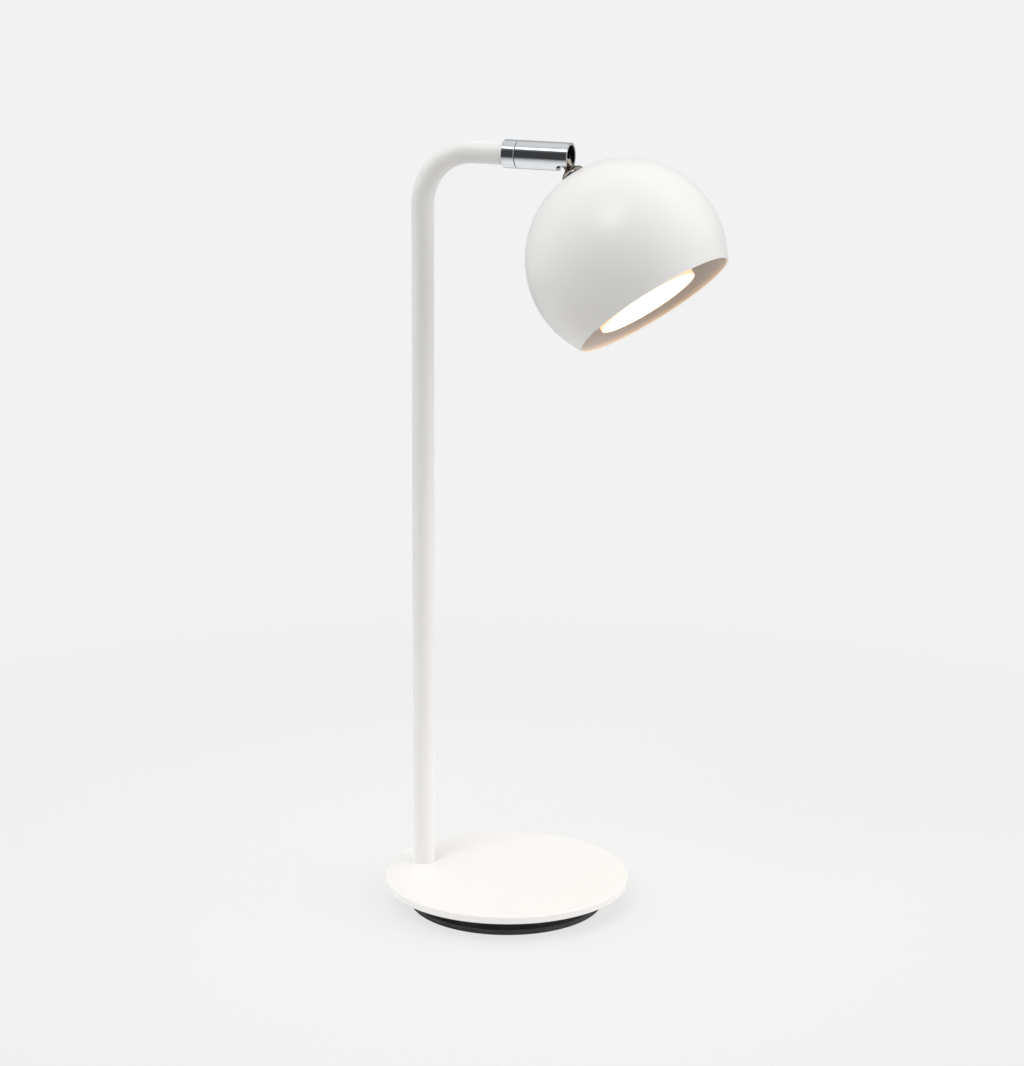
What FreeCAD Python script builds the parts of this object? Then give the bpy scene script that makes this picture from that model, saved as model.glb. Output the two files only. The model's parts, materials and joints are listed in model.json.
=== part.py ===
import FreeCAD, Part
import math
import os

# Dome shade desk lamp, in millimetres.
# Origin: centre of the foot ring's underside, on the table. +Z is up, +X runs along the
# arm, from the stem towards the shade.

# ---------------------------------------------------------------- foot
base_radius = 90.0
base_thickness = 5.4
base_top_round = 0.9
base_bottom_round = 0.5
foot_inset = 18.6
foot_ring_height = 4.0
foot_ring_width = 8.4
foot_ring_round = 0.6
ballast_height = 11.8
chamber_length = 44.0
chamber_width = 32.0
chamber_corner = 4.0
cover_thickness = 1.2
cover_clearance = 0.5

ballast_screw_radius = 2.5
ballast_screw_head_radius = 4.8
ballast_screw_inset = 26.4
ballast_screw_grip = 3.6
ballast_screw_count = 3
cover_screw_radius = 1.5
cover_screw_head_radius = 2.8
cover_screw_head_height = 1.6
cover_screw_inset = 8.5
cover_screw_length = 7.0
cover_screw_count = 4

# ---------------------------------------------------------------- cord inlet
inlet_nut_room = 1.1
inlet_wall = 2.0
inlet_floor = 1.0
inlet_clearance = 0.2
inlet_depth = 12.0
grommet_bore_radius = 2.6
grommet_body_radius = 3.6
grommet_flange_radius = 4.3
grommet_floor_gap = 0.5
grommet_flange_thickness = 1.2
grommet_flat_depth = 1.2
grommet_proud = 0.6

# ---------------------------------------------------------------- stem and arm
stem_inset = 23.7
tube_radius = 8.0
tube_wall = 1.2
arm_height = 555.0
bend_radius = 39.0
arm_reach = 62.1
thread_radius = 5.0
thread_clearance = 0.05
stem_insert_length = 14.0
nipple_bore_radius = 3.4
nipple_length = 20.0
nipple_spare = 0.5
stem_washer_radius = 8.0
stem_washer_thickness = 0.8
stem_nut_flats = 14.0
stem_nut_thickness = 3.0
arm_insert_length = 12.0

# ---------------------------------------------------------------- leads
lead_radius = 2.3
lead_inset = 1.0
lead_bend_radius = 5.0
terminal_length = 16.0
terminal_width = 20.0
terminal_floor_gap = 0.4
terminal_clamp_radius = 2.4
terminal_clamp_bore = 1.5
terminal_clamp_spacing = 9.0
terminal_clamp_inset = 1.0
terminal_screw_radius = 1.3
terminal_screw_inset = 4.0
terminal_screw_sunk = 0.4
terminal_groove = 4.0

# ---------------------------------------------------------------- swivel
collar_radius = 10.0
collar_length = 10.0
collar_overlap = 3.0
collar_edge = 0.6
swivel_washer_radius = 9.2
swivel_washer_thickness = 0.6
axial_play = 0.1
barrel_length = 38.5
barrel_wall = 1.8
barrel_web = 3.6
barrel_edge = 0.5
stud_bore_radius = 3.2
stud_insert_depth = 9.0
wave_washer_radius = 7.4
wave_washer_thickness = 0.8
swivel_nut_flats = 13.0
swivel_nut_thickness = 3.0
stud_spare = 1.5
stop_pin_radius = 1.0
stop_pin_circle = 7.4
stop_pin_hold = 4.0
stop_pin_reach = 1.6
stop_groove_clearance = 0.2
stop_rib_width = 3.0

# ---------------------------------------------------------------- tilt joint
pivot_inset = 6.4
slot_length = 8.5
slot_width = 14.8
slot_corner = 3.0
cradle_back = 13.0
cradle_plug_length = 6.0
cradle_nose = 4.2
cradle_clearance = 0.05
cradle_lead_hole = 4.0
cradle_screw_radius = 1.5
trunnion_radius = 1.6
trunnion_clearance = 0.05
trunnion_inset = 0.5
trunnion_reach = 1.3
friction_washer_thickness = 0.5
friction_washer_radius = 3.8
knuckle_half_width = 4.2
knuckle_lug_radius = 4.2
knuckle_lug_thickness = 1.5
knuckle_lug_depth = 4.5
knuckle_taper = 2.5
knuckle_waist_radius = 3.5
knuckle_waist_end = 10.3
knuckle_root_radius = 4.5
knuckle_flange_radius = 6.2
knuckle_flange_thickness = 1.8
knuckle_bore_radius = 2.6
knuckle_thread_length = 16.5
dome_radius = 8.4
dome_height = 4.1
dome_shoulder_radius = 7.3
dome_shoulder_height = 2.5
dome_side_height = 0.6
dome_wall = 0.8
dome_hole_clearance = 0.2
gasket_thickness = 1.0
gasket_inset = 0.4

# ---------------------------------------------------------------- shade
shade_radius = 70.0
shade_wall = 1.0
neck_reach = 15.3
mouth_depth = 37.9
rim_straight = 9.0
land_radius = 9.0
inner_washer_thickness = 1.5
inner_washer_inset = 0.4
locknut_flats = 14.0
locknut_thickness = 4.0
coupling_radius = 7.0
coupling_length = 18.0
coupling_gap = 0.6
tube_gap = 0.5
holder_tube_bore = 3.6
bridge_nut_thickness = 3.0
tube_spare = 1.5
bridge_width = 14.0
bridge_thickness = 1.5
bridge_rise = 8.0
bridge_top_length = 26.0
bridge_length = 64.0
bridge_screw_circle = 26.0
bridge_screw_radius = 1.5
bridge_screw_head_radius = 2.8
bridge_screw_head_height = 1.8
bridge_screw_length = 6.0

# ---------------------------------------------------------------- lamp in the mouth
lamp_radius = 37.5
lamp_depth = 18.0
lamp_recess = 3.4
lamp_offset = 3.0
lamp_wall = 0.9
lamp_back_wall = 1.5
lamp_back_radius = 32.0
lamp_side_height = 11.0
lamp_flank_bow = 1.1
lamp_rim_drop = 0.4
diffuser_thickness = 2.2
diffuser_crown = 0.5
board_thickness = 1.6
board_clearance = 0.4
board_standoff = 3.0
holder_radius = 37.0
holder_height = 12.0
holder_edge = 1.5
holder_recess_radius = 17.0
holder_recess_depth = 5.0
holder_lip = 2.0
pin_circle = 26.5
pin_radius = 1.6
pin_head_radius = 2.5
pin_head_height = 1.5
pin_clearance = 0.3
pin_twist = 20.0
contact_thickness = 1.0
lead_socket_depth = 5.0

# ---------------------------------------------------------------- pose in which the lamp stands
rest_tilt = 52.9
rest_swivel = -8.8

# ---------------------------------------------------------------- levels and stations
foot_radius = base_radius - foot_inset
cover_radius = foot_radius - foot_ring_width - cover_clearance
ballast_screw_circle_radius = foot_radius - ballast_screw_inset
cover_screw_circle_radius = cover_radius - cover_screw_inset
ballast_z = foot_ring_height
plate_z = ballast_z + ballast_height
plate_top = plate_z + base_thickness
stem_x = stem_inset - base_radius
bend_z = arm_height - bend_radius
tube_bore_radius = tube_radius - tube_wall
inlet_inner_radius = stem_nut_flats / math.sqrt(3) + inlet_nut_room
inlet_outer_radius = inlet_inner_radius + inlet_wall
inlet_end_x = stem_x + inlet_depth
cord_z = ballast_z + grommet_floor_gap + grommet_flange_radius
lead_z = ballast_z + inlet_floor + lead_radius
terminal_x = inlet_end_x + chamber_length / 2
terminal_x0 = terminal_x - terminal_length / 2
terminal_x1 = terminal_x + terminal_length / 2
terminal_z = ballast_z + terminal_floor_gap
grommet_face_x = stem_x - inlet_outer_radius + grommet_flat_depth

collar_x0 = stem_x + arm_reach
collar_x1 = collar_x0 + collar_length
tube_end_x = collar_x0 + collar_overlap
barrel_x0 = collar_x1 + swivel_washer_thickness + axial_play
barrel_x1 = barrel_x0 + barrel_length
web_x1 = barrel_x0 + barrel_web
wave_x0 = web_x1 + axial_play
swivel_nut_x0 = wave_x0 + wave_washer_thickness
stud_x0 = tube_end_x - stud_insert_depth
stud_x1 = swivel_nut_x0 + swivel_nut_thickness + stud_spare
pivot_x = barrel_x1 - pivot_inset
barrel_bore_radius = collar_radius - barrel_wall

# along the shade's own axis, measured from the tilt pivot
shade_distance = shade_radius + neck_reach
land_z = shade_distance - math.sqrt(shade_radius ** 2 - land_radius ** 2)
gasket_z = land_z - gasket_thickness
flange_z = gasket_z - knuckle_flange_thickness
washer_z = land_z + shade_wall
locknut_z = washer_z + inner_washer_thickness
thread_end_z = gasket_z + knuckle_thread_length
coupling_z = locknut_z + locknut_thickness + coupling_gap
holder_tube_z = thread_end_z + tube_gap
mouth_z = shade_distance + mouth_depth
lamp_face_z = mouth_z - lamp_recess
lamp_back_z = lamp_face_z - lamp_depth
holder_z = lamp_back_z - holder_height
holder_lip_z = lamp_back_z - holder_lip
pin_head_z = holder_lip_z - pin_clearance - pin_head_height
bridge_foot_z = holder_z - bridge_thickness
bridge_top_z = bridge_foot_z - bridge_rise
holder_tube_end_z = bridge_top_z + bridge_thickness + bridge_nut_thickness + tube_spare

X = FreeCAD.Vector(1, 0, 0)
Y = FreeCAD.Vector(0, 1, 0)
Z = FreeCAD.Vector(0, 0, 1)
ORIGIN = FreeCAD.Vector(0, 0, 0)


# ---------------------------------------------------------------- helpers
def point(x, y, z):
    return FreeCAD.Vector(x, y, z)


def rod(radius, start, end, x=0.0, y=0.0):
    """Upright cylinder from one height to another."""
    return Part.makeCylinder(radius, end - start, point(x, y, start), Z)


def ring(outer, inner, start, end, x=0.0, y=0.0):
    """Upright tube or washer."""
    return rod(outer, start, end, x, y).cut(rod(inner, start - 1, end + 1, x, y))


def arm_rod(radius, start, end):
    """Cylinder on the arm's axis, between two stations along X."""
    return Part.makeCylinder(radius, end - start, point(start, 0, arm_height), X)


def arm_ring(outer, inner, start, end):
    """Tube or washer on the arm's axis."""
    return arm_rod(outer, start, end).cut(arm_rod(inner, start - 1, end + 1))


def block(x0, x1, y0, y1, z0, z1):
    """Box between two corners."""
    return Part.makeBox(x1 - x0, y1 - y0, z1 - z0, point(x0, y0, z0))


def hexagon(flats, start, end, x=0.0, y=0.0):
    """Upright hexagonal prism, by its width across flats."""
    corner = flats / math.sqrt(3)
    corners = []
    for side in range(7):
        angle = math.radians(60 * side)
        corners.append(point(x + corner * math.cos(angle), y + corner * math.sin(angle), start))
    return Part.Face(Part.makePolygon(corners)).extrude(Z * (end - start))


def nut(flats, bore, start, end, x=0.0, y=0.0):
    """Hexagon nut with its corners turned off."""
    chamfer = 0.12 * (end - start)
    corner = flats / math.sqrt(3)
    body = hexagon(flats, start, end, x, y)
    low = Part.makeCone(corner - chamfer, corner, chamfer, point(x, y, start), Z)
    high = Part.makeCone(corner, corner - chamfer, chamfer, point(x, y, end - chamfer), Z)
    middle = rod(corner + 0.01, start + chamfer, end - chamfer, x, y)
    return body.common(low.fuse([middle, high])).cut(rod(bore, start - 1, end + 1, x, y))


def turned(edges):
    """Solid of revolution about Z, from a closed profile in the XZ plane."""
    return Part.Face(Part.Wire(edges)).revolve(ORIGIN, Z, 360)


def outline(points):
    """Straight edges through points given as (radius, height)."""
    corners = [point(r, 0, z) for r, z in points]
    return [Part.LineSegment(a, b).toShape() for a, b in zip(corners, corners[1:])]


def arc(start, middle, end):
    """Arc edge through three points given as (radius, height)."""
    return Part.Arc(*[point(r, 0, z) for r, z in (start, middle, end)]).toShape()


def bowed(start, end, rise):
    """Arc edge between two (radius, height) points that swells to the right of its way by rise."""
    dr = end[0] - start[0]
    dz = end[1] - start[1]
    length = math.hypot(dr, dz)
    middle = ((start[0] + end[0]) / 2 + rise * dz / length, (start[1] + end[1]) / 2 - rise * dr / length)
    return arc(start, middle, end)


def lathe(points):
    """Solid of revolution from a closed straight-sided profile."""
    return turned(outline(list(points) + [points[0]]))


def lay_on_arm(shape, station):
    """Turn a piece made on the Z axis on to the arm's axis, its zero at a station."""
    shape.rotate(ORIGIN, Y, 90)
    shape.translate(point(station, 0, arm_height))
    return shape


def to_barrel(shape):
    """Swivel a piece about the arm's axis, to where the lamp stands."""
    shape.rotate(point(0, 0, arm_height), X, rest_swivel)
    return shape


def to_shade(shape):
    """Place a piece made along the shade's axis, its zero at the tilt pivot."""
    shape.rotate(ORIGIN, Y, 90 + rest_tilt)
    shape.translate(point(pivot_x, 0, arm_height))
    return to_barrel(shape)


def pair(shape):
    """A piece and its mirror image across the XZ plane."""
    return [shape, shape.mirror(ORIGIN, Y)]


def swept(radius, path):
    """Round bar along a path of tangent lines and arcs."""
    start = path.Vertexes[0].Point
    first = path.Edges[0]
    heading = first.tangentAt(first.FirstParameter)
    section = Part.Wire(Part.Circle(start, heading, radius).toShape())
    return path.makePipeShell([section], True, False)


def screw(shank, head, head_height, head_z, length):
    """Pan-head screw driven upwards, its head's seat at head_z, with a cross recess."""
    dome = 0.35 * head_height
    body = lathe([(0, head_z - head_height), (head - dome, head_z - head_height),
                  (head, head_z - head_height + dome), (head, head_z),
                  (shank, head_z), (shank, head_z + length), (0, head_z + length)])
    arm = 0.55 * head
    half = 0.12 * head
    low = head_z - head_height - 1
    high = head_z - 0.45 * head_height
    return body.cut([block(-arm, arm, -half, half, low, high), block(-half, half, -arm, arm, low, high)])


# ---------------------------------------------------------------- foot
def wiring_chamber():
    """Rounded room through the ballast for the terminal block."""
    half = chamber_width / 2
    room = block(inlet_end_x, inlet_end_x + chamber_length, -half, half, ballast_z - 1, plate_z + 1)
    upright = [e for e in room.Edges if abs(e.tangentAt(e.FirstParameter).z) > 0.9]
    return room.makeFillet(chamber_corner, upright)


def places_round(circle, count, first):
    """Evenly spaced points on a circle about the foot's centre."""
    angles = [math.radians(first + 360.0 * index / count) for index in range(count)]
    return [(circle * math.cos(angle), circle * math.sin(angle)) for angle in angles]


def ballast_screw_places():
    """Centres of the ballast screws, clear of the wiring chamber."""
    return places_round(ballast_screw_circle_radius, ballast_screw_count, 0)


def cover_screw_places():
    """Centres of the cover screws."""
    return places_round(cover_screw_circle_radius, cover_screw_count, 45)


def base_plate():
    holes = [rod(thread_radius + thread_clearance, plate_z - 1, plate_top + 1, stem_x)]
    for x, y in ballast_screw_places():
        holes.append(rod(ballast_screw_radius, plate_z - 1, plate_z + ballast_screw_grip, x, y))
    return rounded_plate().cut(holes)


def rounded_plate():
    """Disc with rounded upper and lower edges."""
    top = base_top_round
    low = base_bottom_round
    lean = 1 - math.sqrt(0.5)
    r = base_radius
    edges = outline([(0, plate_top), (0, plate_z), (r - low, plate_z)])
    edges.append(arc((r - low, plate_z), (r - low * lean, plate_z + low * lean), (r, plate_z + low)))
    edges += outline([(r, plate_z + low), (r, plate_top - top)])
    edges.append(arc((r, plate_top - top), (r - top * lean, plate_top - top * lean), (r - top, plate_top)))
    edges += outline([(r - top, plate_top), (0, plate_top)])
    return turned(edges)


def ballast():
    puck = rod(foot_radius, ballast_z, plate_z)
    notch_half = inlet_outer_radius + inlet_clearance
    notch = block(-base_radius, inlet_end_x + chamber_corner, -notch_half, notch_half,
                  ballast_z - 1, plate_z + 1)
    cuts = [notch, wiring_chamber()]
    head_drop = ballast_screw_head_radius - ballast_screw_radius
    for x, y in ballast_screw_places():
        cuts.append(rod(ballast_screw_radius + thread_clearance, ballast_z - 1, plate_z + 1, x, y))
        cuts.append(Part.makeCone(ballast_screw_head_radius + thread_clearance,
                                  ballast_screw_radius + thread_clearance,
                                  head_drop, point(x, y, ballast_z), Z))
    for x, y in cover_screw_places():
        cuts.append(rod(cover_screw_radius, ballast_z - 1, ballast_z + cover_screw_length, x, y))
    return puck.cut(cuts)


def ballast_screws():
    screws = []
    head_drop = ballast_screw_head_radius - ballast_screw_radius
    for x, y in ballast_screw_places():
        head = Part.makeCone(ballast_screw_head_radius, ballast_screw_radius, head_drop,
                             point(x, y, ballast_z), Z)
        shank = rod(ballast_screw_radius, ballast_z + head_drop, plate_z + ballast_screw_grip, x, y)
        socket = hexagon(ballast_screw_radius * 1.2, ballast_z - 1, ballast_z + head_drop * 0.8, x, y)
        screws.append(head.fuse(shank).cut(socket))
    return Part.makeCompound(screws)


def foot_ring():
    outer = foot_radius
    inner = foot_radius - foot_ring_width
    soft = foot_ring_round
    lean = soft * (1 - math.sqrt(0.5))
    edges = outline([(inner + soft, 0), (outer - soft, 0)])
    edges.append(arc((outer - soft, 0), (outer - lean, lean), (outer, soft)))
    edges += outline([(outer, soft), (outer, ballast_z), (inner, ballast_z), (inner, soft)])
    edges.append(arc((inner, soft), (inner + lean, lean), (inner + soft, 0)))
    return turned(edges)


def bottom_cover():
    low = ballast_z - cover_thickness
    cover = rod(cover_radius, low, ballast_z)
    hole = cover_screw_radius + thread_clearance
    return cover.cut([rod(hole, low - 1, ballast_z + 1, x, y) for x, y in cover_screw_places()])


def cover_screws():
    head_z = ballast_z - cover_thickness
    pattern = screw(cover_screw_radius, cover_screw_head_radius, cover_screw_head_height, head_z,
                    cover_thickness + cover_screw_length)
    screws = []
    for x, y in cover_screw_places():
        copy = pattern.copy()
        copy.translate(point(x, y, 0))
        screws.append(copy)
    return Part.makeCompound(screws)


def inlet_form(radius, end, low, high):
    """Upright block, round about the stem on one side and straight towards the chamber."""
    far = point(stem_x, radius, low)
    near = point(stem_x, -radius, low)
    round_side = Part.Arc(far, point(stem_x - radius, 0, low), near).toShape()
    straight = Part.makePolygon([near, point(end, -radius, low), point(end, radius, low), far])
    return Part.Face(Part.Wire([round_side] + straight.Edges)).extrude(Z * (high - low))


def cord_inlet():
    shell = inlet_form(inlet_outer_radius, inlet_end_x - inlet_clearance, ballast_z, plate_z)
    hollow = inlet_form(inlet_inner_radius, inlet_end_x + 1, ballast_z + inlet_floor, plate_z + 1)
    flat = block(-base_radius, grommet_face_x, -inlet_outer_radius, inlet_outer_radius,
                 ballast_z - 1, plate_z + 1)
    hole = Part.makeCylinder(grommet_body_radius, inlet_outer_radius,
                             point(stem_x - inlet_outer_radius - 1, 0, cord_z), X)
    return shell.cut([hollow, flat, hole])


def cord_grommet():
    back_x = grommet_face_x - grommet_flange_thickness
    end_x = stem_x - inlet_inner_radius + grommet_proud
    flange = Part.makeCylinder(grommet_flange_radius, grommet_flange_thickness, point(back_x, 0, cord_z), X)
    body = Part.makeCylinder(grommet_body_radius - thread_clearance, end_x - grommet_face_x,
                             point(grommet_face_x, 0, cord_z), X)
    bore = Part.makeCylinder(grommet_bore_radius, end_x - back_x + 2, point(back_x - 1, 0, cord_z), X)
    return flange.fuse(body).removeSplitter().cut(bore)


# ---------------------------------------------------------------- wiring in the foot
def clamp_rows():
    """Places of the two wire clamps across the block."""
    return (-terminal_clamp_spacing / 2, terminal_clamp_spacing / 2)


def clamp_screw_places():
    """Places of the clamp screws, two along each clamp."""
    stations = (terminal_x0 + terminal_screw_inset, terminal_x1 - terminal_screw_inset)
    return [(x, y) for y in clamp_rows() for x in stations]


def terminal_block():
    body = block(terminal_x0, terminal_x1, -terminal_width / 2, terminal_width / 2, terminal_z, plate_z)
    cuts = []
    for y in clamp_rows():
        cuts.append(Part.makeCylinder(terminal_clamp_radius, terminal_length + 2,
                                      point(terminal_x0 - 1, y, lead_z), X))
    for x, y in clamp_screw_places():
        cuts.append(rod(terminal_screw_radius + thread_clearance, terminal_z - 1, lead_z, x, y))
    long_half = terminal_groove / 2
    wide_half = terminal_clamp_radius / 2
    cuts.append(block(terminal_x - long_half, terminal_x + long_half, -wide_half, wide_half,
                      terminal_z - 1, lead_z))
    return body.cut(cuts)


def terminal_clamps():
    start = terminal_x0 + terminal_clamp_inset
    length = terminal_length - 2 * terminal_clamp_inset
    holes = [rod(terminal_screw_radius, terminal_z - 1, lead_z, x, y) for x, y in clamp_screw_places()]
    clamps = []
    for y in clamp_rows():
        tube = Part.makeCylinder(terminal_clamp_radius - thread_clearance, length, point(start, y, lead_z), X)
        bore = Part.makeCylinder(terminal_clamp_bore, length + 2, point(start - 1, y, lead_z), X)
        clamps.append(tube.cut([bore] + holes))
    return Part.makeCompound(clamps)


def terminal_screws():
    low = terminal_z + terminal_screw_sunk
    high = lead_z - terminal_clamp_bore / 2
    r = terminal_screw_radius
    screws = []
    for x, y in clamp_screw_places():
        slot = block(x - r, x + r, y - 0.15 * r, y + 0.15 * r, low - 1, low + 0.4 * r)
        screws.append(rod(r, low, high, x, y).cut(slot))
    return Part.makeCompound(screws)


def stem_lead():
    r = lead_bend_radius
    short = r * (1 - math.sqrt(0.5))
    corner = Part.Arc(point(stem_x + r, 0, lead_z), point(stem_x + short, 0, lead_z + short),
                      point(stem_x, 0, lead_z + r)).toShape()
    level = Part.LineSegment(point(terminal_x0, 0, lead_z), point(stem_x + r, 0, lead_z)).toShape()
    return swept(lead_radius, Part.Wire([level, corner] + stem_edges(lead_z + r, stud_x1 - lead_inset)))


# ---------------------------------------------------------------- stem and arm
def stem_edges(low, end):
    """Centre line of the stem and arm, from a height on the stem to a station on the arm."""
    short = bend_radius * (1 - math.sqrt(0.5))
    middle = point(stem_x + short, 0, arm_height - short)
    up = Part.LineSegment(point(stem_x, 0, low), point(stem_x, 0, bend_z)).toShape()
    bend = Part.Arc(point(stem_x, 0, bend_z), middle, point(stem_x + bend_radius, 0, arm_height)).toShape()
    along = Part.LineSegment(point(stem_x + bend_radius, 0, arm_height), point(end, 0, arm_height)).toShape()
    return [up, bend, along]


def stem_tube():
    path = Part.Wire(stem_edges(plate_top, tube_end_x))
    return swept(tube_radius, path).cut(swept(tube_bore_radius, path))


def stem_insert():
    outer = tube_bore_radius - thread_clearance
    return ring(outer, thread_radius + thread_clearance, plate_top, plate_top + stem_insert_length, stem_x)


def stem_nipple():
    low = plate_z - stem_washer_thickness - stem_nut_thickness - nipple_spare
    return ring(thread_radius, nipple_bore_radius, low, low + nipple_length, stem_x)


def stem_washer():
    return ring(stem_washer_radius, thread_radius + thread_clearance,
                plate_z - stem_washer_thickness, plate_z, stem_x)


def stem_nut():
    high = plate_z - stem_washer_thickness
    return nut(stem_nut_flats, thread_radius + thread_clearance, high - stem_nut_thickness, high, stem_x)


def arm_insert():
    return arm_ring(tube_bore_radius - thread_clearance, thread_radius + thread_clearance,
                    tube_end_x - arm_insert_length, tube_end_x)


# ---------------------------------------------------------------- swivel
def collar():
    r = collar_radius
    e = collar_edge
    hole = thread_radius + thread_clearance
    socket = tube_radius + thread_clearance
    body = lathe([(socket, 0), (r - e, 0), (r, e), (r, collar_length - e / 2), (r - e / 2, collar_length),
                  (hole, collar_length), (hole, collar_overlap), (socket, collar_overlap)])
    body = lay_on_arm(body, collar_x0)
    pin_hole = Part.makeCylinder(stop_pin_radius, stop_pin_hold + 1,
                                 point(collar_x1 - stop_pin_hold, 0, arm_height + stop_pin_circle), X)
    return body.cut(pin_hole)


def swivel_stud():
    return arm_ring(thread_radius, stud_bore_radius, stud_x0, stud_x1)


def swivel_washer():
    washer = arm_ring(swivel_washer_radius, thread_radius + thread_clearance,
                      collar_x1, collar_x1 + swivel_washer_thickness)
    hole = Part.makeCylinder(stop_pin_radius + thread_clearance, swivel_washer_thickness + 2,
                             point(collar_x1 - 1, 0, arm_height + stop_pin_circle), X)
    return washer.cut(hole)


def stop_pin():
    start = collar_x1 - stop_pin_hold
    end = barrel_x0 + stop_pin_reach
    return Part.makeCylinder(stop_pin_radius, end - start, point(start, 0, arm_height + stop_pin_circle), X)


def wave_washer():
    """Spring washer, dished so that it presses the barrel back on the swivel washer."""
    hole = thread_radius + thread_clearance
    lift = wave_washer_thickness * 0.45
    sheet = wave_washer_thickness - lift
    dish = lathe([(hole, lift), (wave_washer_radius, 0), (wave_washer_radius, sheet),
                  (hole, wave_washer_thickness)])
    return lay_on_arm(dish, wave_x0)


def swivel_nut():
    blank = nut(swivel_nut_flats, thread_radius + thread_clearance, 0, swivel_nut_thickness)
    return lay_on_arm(blank, swivel_nut_x0)


# ---------------------------------------------------------------- barrel and tilt joint
def barrel():
    r = collar_radius
    e = barrel_edge
    bore = barrel_bore_radius
    hole = thread_radius + thread_clearance
    body = lathe([(hole, 0), (r - e / 2, 0), (r, e / 2), (r, barrel_length - e), (r - e, barrel_length),
                  (bore + e / 2, barrel_length), (bore, barrel_length - e / 2), (bore, barrel_web),
                  (hole, barrel_web)])
    body = lay_on_arm(body, barrel_x0)
    groove_out = stop_pin_circle + stop_pin_radius + stop_groove_clearance
    groove_in = stop_pin_circle - stop_pin_radius - stop_groove_clearance
    groove_end = barrel_x0 + stop_pin_reach + stop_groove_clearance
    groove = arm_ring(groove_out, groove_in, barrel_x0 - 1, groove_end)
    rib = block(barrel_x0 - 1, groove_end + 1, -stop_rib_width / 2, stop_rib_width / 2,
                arm_height - r, arm_height - thread_radius)
    slot = block(barrel_x1 - slot_length, barrel_x1 + 2, -slot_width / 2, slot_width / 2,
                 arm_height - r - 1, arm_height)
    corners = [edge for edge in slot.Edges
               if abs(edge.tangentAt(edge.FirstParameter).z) > 0.9
               and abs(edge.Vertexes[0].Point.x - (barrel_x1 - slot_length)) < 1e-6]
    slot = slot.makeFillet(slot_corner, corners)
    screw_x = pivot_x - cradle_back + cradle_plug_length / 2
    screw_hole = Part.makeCylinder(cradle_screw_radius, barrel_wall + 2,
                                   point(screw_x, 0, arm_height - r - 1), Z)
    return to_barrel(body.cut([groove.cut(rib), slot, screw_hole]))


def cradle():
    outer = barrel_bore_radius - cradle_clearance
    back = pivot_x - cradle_back
    front = back + cradle_plug_length
    plug = arm_rod(outer, back, front)
    reach = arm_rod(outer, front - 0.5, pivot_x + cradle_nose)
    wide = outer + 1
    straight = block(front - 1, pivot_x, -wide, wide, arm_height - cradle_nose, arm_height + cradle_nose)
    nose = Part.makeCylinder(cradle_nose, 2 * wide, point(pivot_x, -wide, arm_height), Y)
    lugs = reach.common(straight.fuse(nose))
    inner = knuckle_half_width + axial_play + friction_washer_thickness
    gap = block(front, pivot_x + cradle_nose + 1, -inner, inner, arm_height - outer, arm_height + outer)
    pin_hole = Part.makeCylinder(trunnion_radius, 2 * outer + 2, point(pivot_x, -outer - 1, arm_height), Y)
    lead_hole = arm_rod(cradle_lead_hole, back - 1, front + 1)
    screw_x = back + cradle_plug_length / 2
    screw_hole = Part.makeCylinder(cradle_screw_radius, outer, point(screw_x, 0, arm_height - outer - 1), Z)
    return to_barrel(plug.fuse(lugs).removeSplitter().cut([gap, pin_hole, lead_hole, screw_hole]))


def cradle_screw():
    screw_x = pivot_x - cradle_back + cradle_plug_length / 2
    low = arm_height - collar_radius + 0.3
    high = arm_height - cradle_lead_hole - 0.3
    body = Part.makeCylinder(cradle_screw_radius, high - low, point(screw_x, 0, low), Z)
    socket = hexagon(cradle_screw_radius, low - 1, low + 1.2, screw_x)
    return to_barrel(body.cut(socket))


def trunnion_pins():
    inner = knuckle_half_width - trunnion_reach
    outer = barrel_bore_radius - cradle_clearance - trunnion_inset
    pin = Part.makeCylinder(trunnion_radius, outer - inner, point(pivot_x, inner, arm_height), Y)
    return to_barrel(Part.makeCompound(pair(pin)))


def friction_washers():
    start = knuckle_half_width + axial_play
    centre = point(pivot_x, start, arm_height)
    disc = Part.makeCylinder(friction_washer_radius, friction_washer_thickness, centre, Y)
    hole = Part.makeCylinder(trunnion_radius + thread_clearance, friction_washer_thickness + 2,
                             point(pivot_x, start - 1, arm_height), Y)
    return to_barrel(Part.makeCompound(pair(disc.cut(hole))))


def knuckle():
    half = knuckle_half_width
    lug = Part.makeCylinder(knuckle_lug_radius, 2 * half, point(0, -half, 0), Y)
    head = rod(half, 0, knuckle_lug_depth)
    taper = Part.makeCone(half, knuckle_waist_radius, knuckle_taper, point(0, 0, knuckle_lug_depth), Z)
    step = knuckle_root_radius - knuckle_waist_radius
    flange_edge = 0.3
    shaft = lathe([(0, knuckle_lug_depth), (knuckle_waist_radius, knuckle_lug_depth),
                   (knuckle_waist_radius, knuckle_waist_end - step), (knuckle_root_radius, knuckle_waist_end),
                   (knuckle_root_radius, flange_z), (knuckle_flange_radius - flange_edge, flange_z),
                   (knuckle_flange_radius, flange_z + flange_edge), (knuckle_flange_radius, gasket_z),
                   (thread_radius, gasket_z), (thread_radius, thread_end_z), (0, thread_end_z)])
    body = lug.fuse([head, taper, shaft]).removeSplitter()
    gap_half = half - knuckle_lug_thickness
    gap = block(-2 * half, 2 * half, -gap_half, gap_half, -2 * half, knuckle_lug_depth)
    bore = rod(knuckle_bore_radius, -2 * half, thread_end_z + 1)
    pin_hole = Part.makeCylinder(trunnion_radius + trunnion_clearance, 4 * half, point(0, -2 * half, 0), Y)
    return to_shade(body.cut([gap, bore, pin_hole]))


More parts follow.
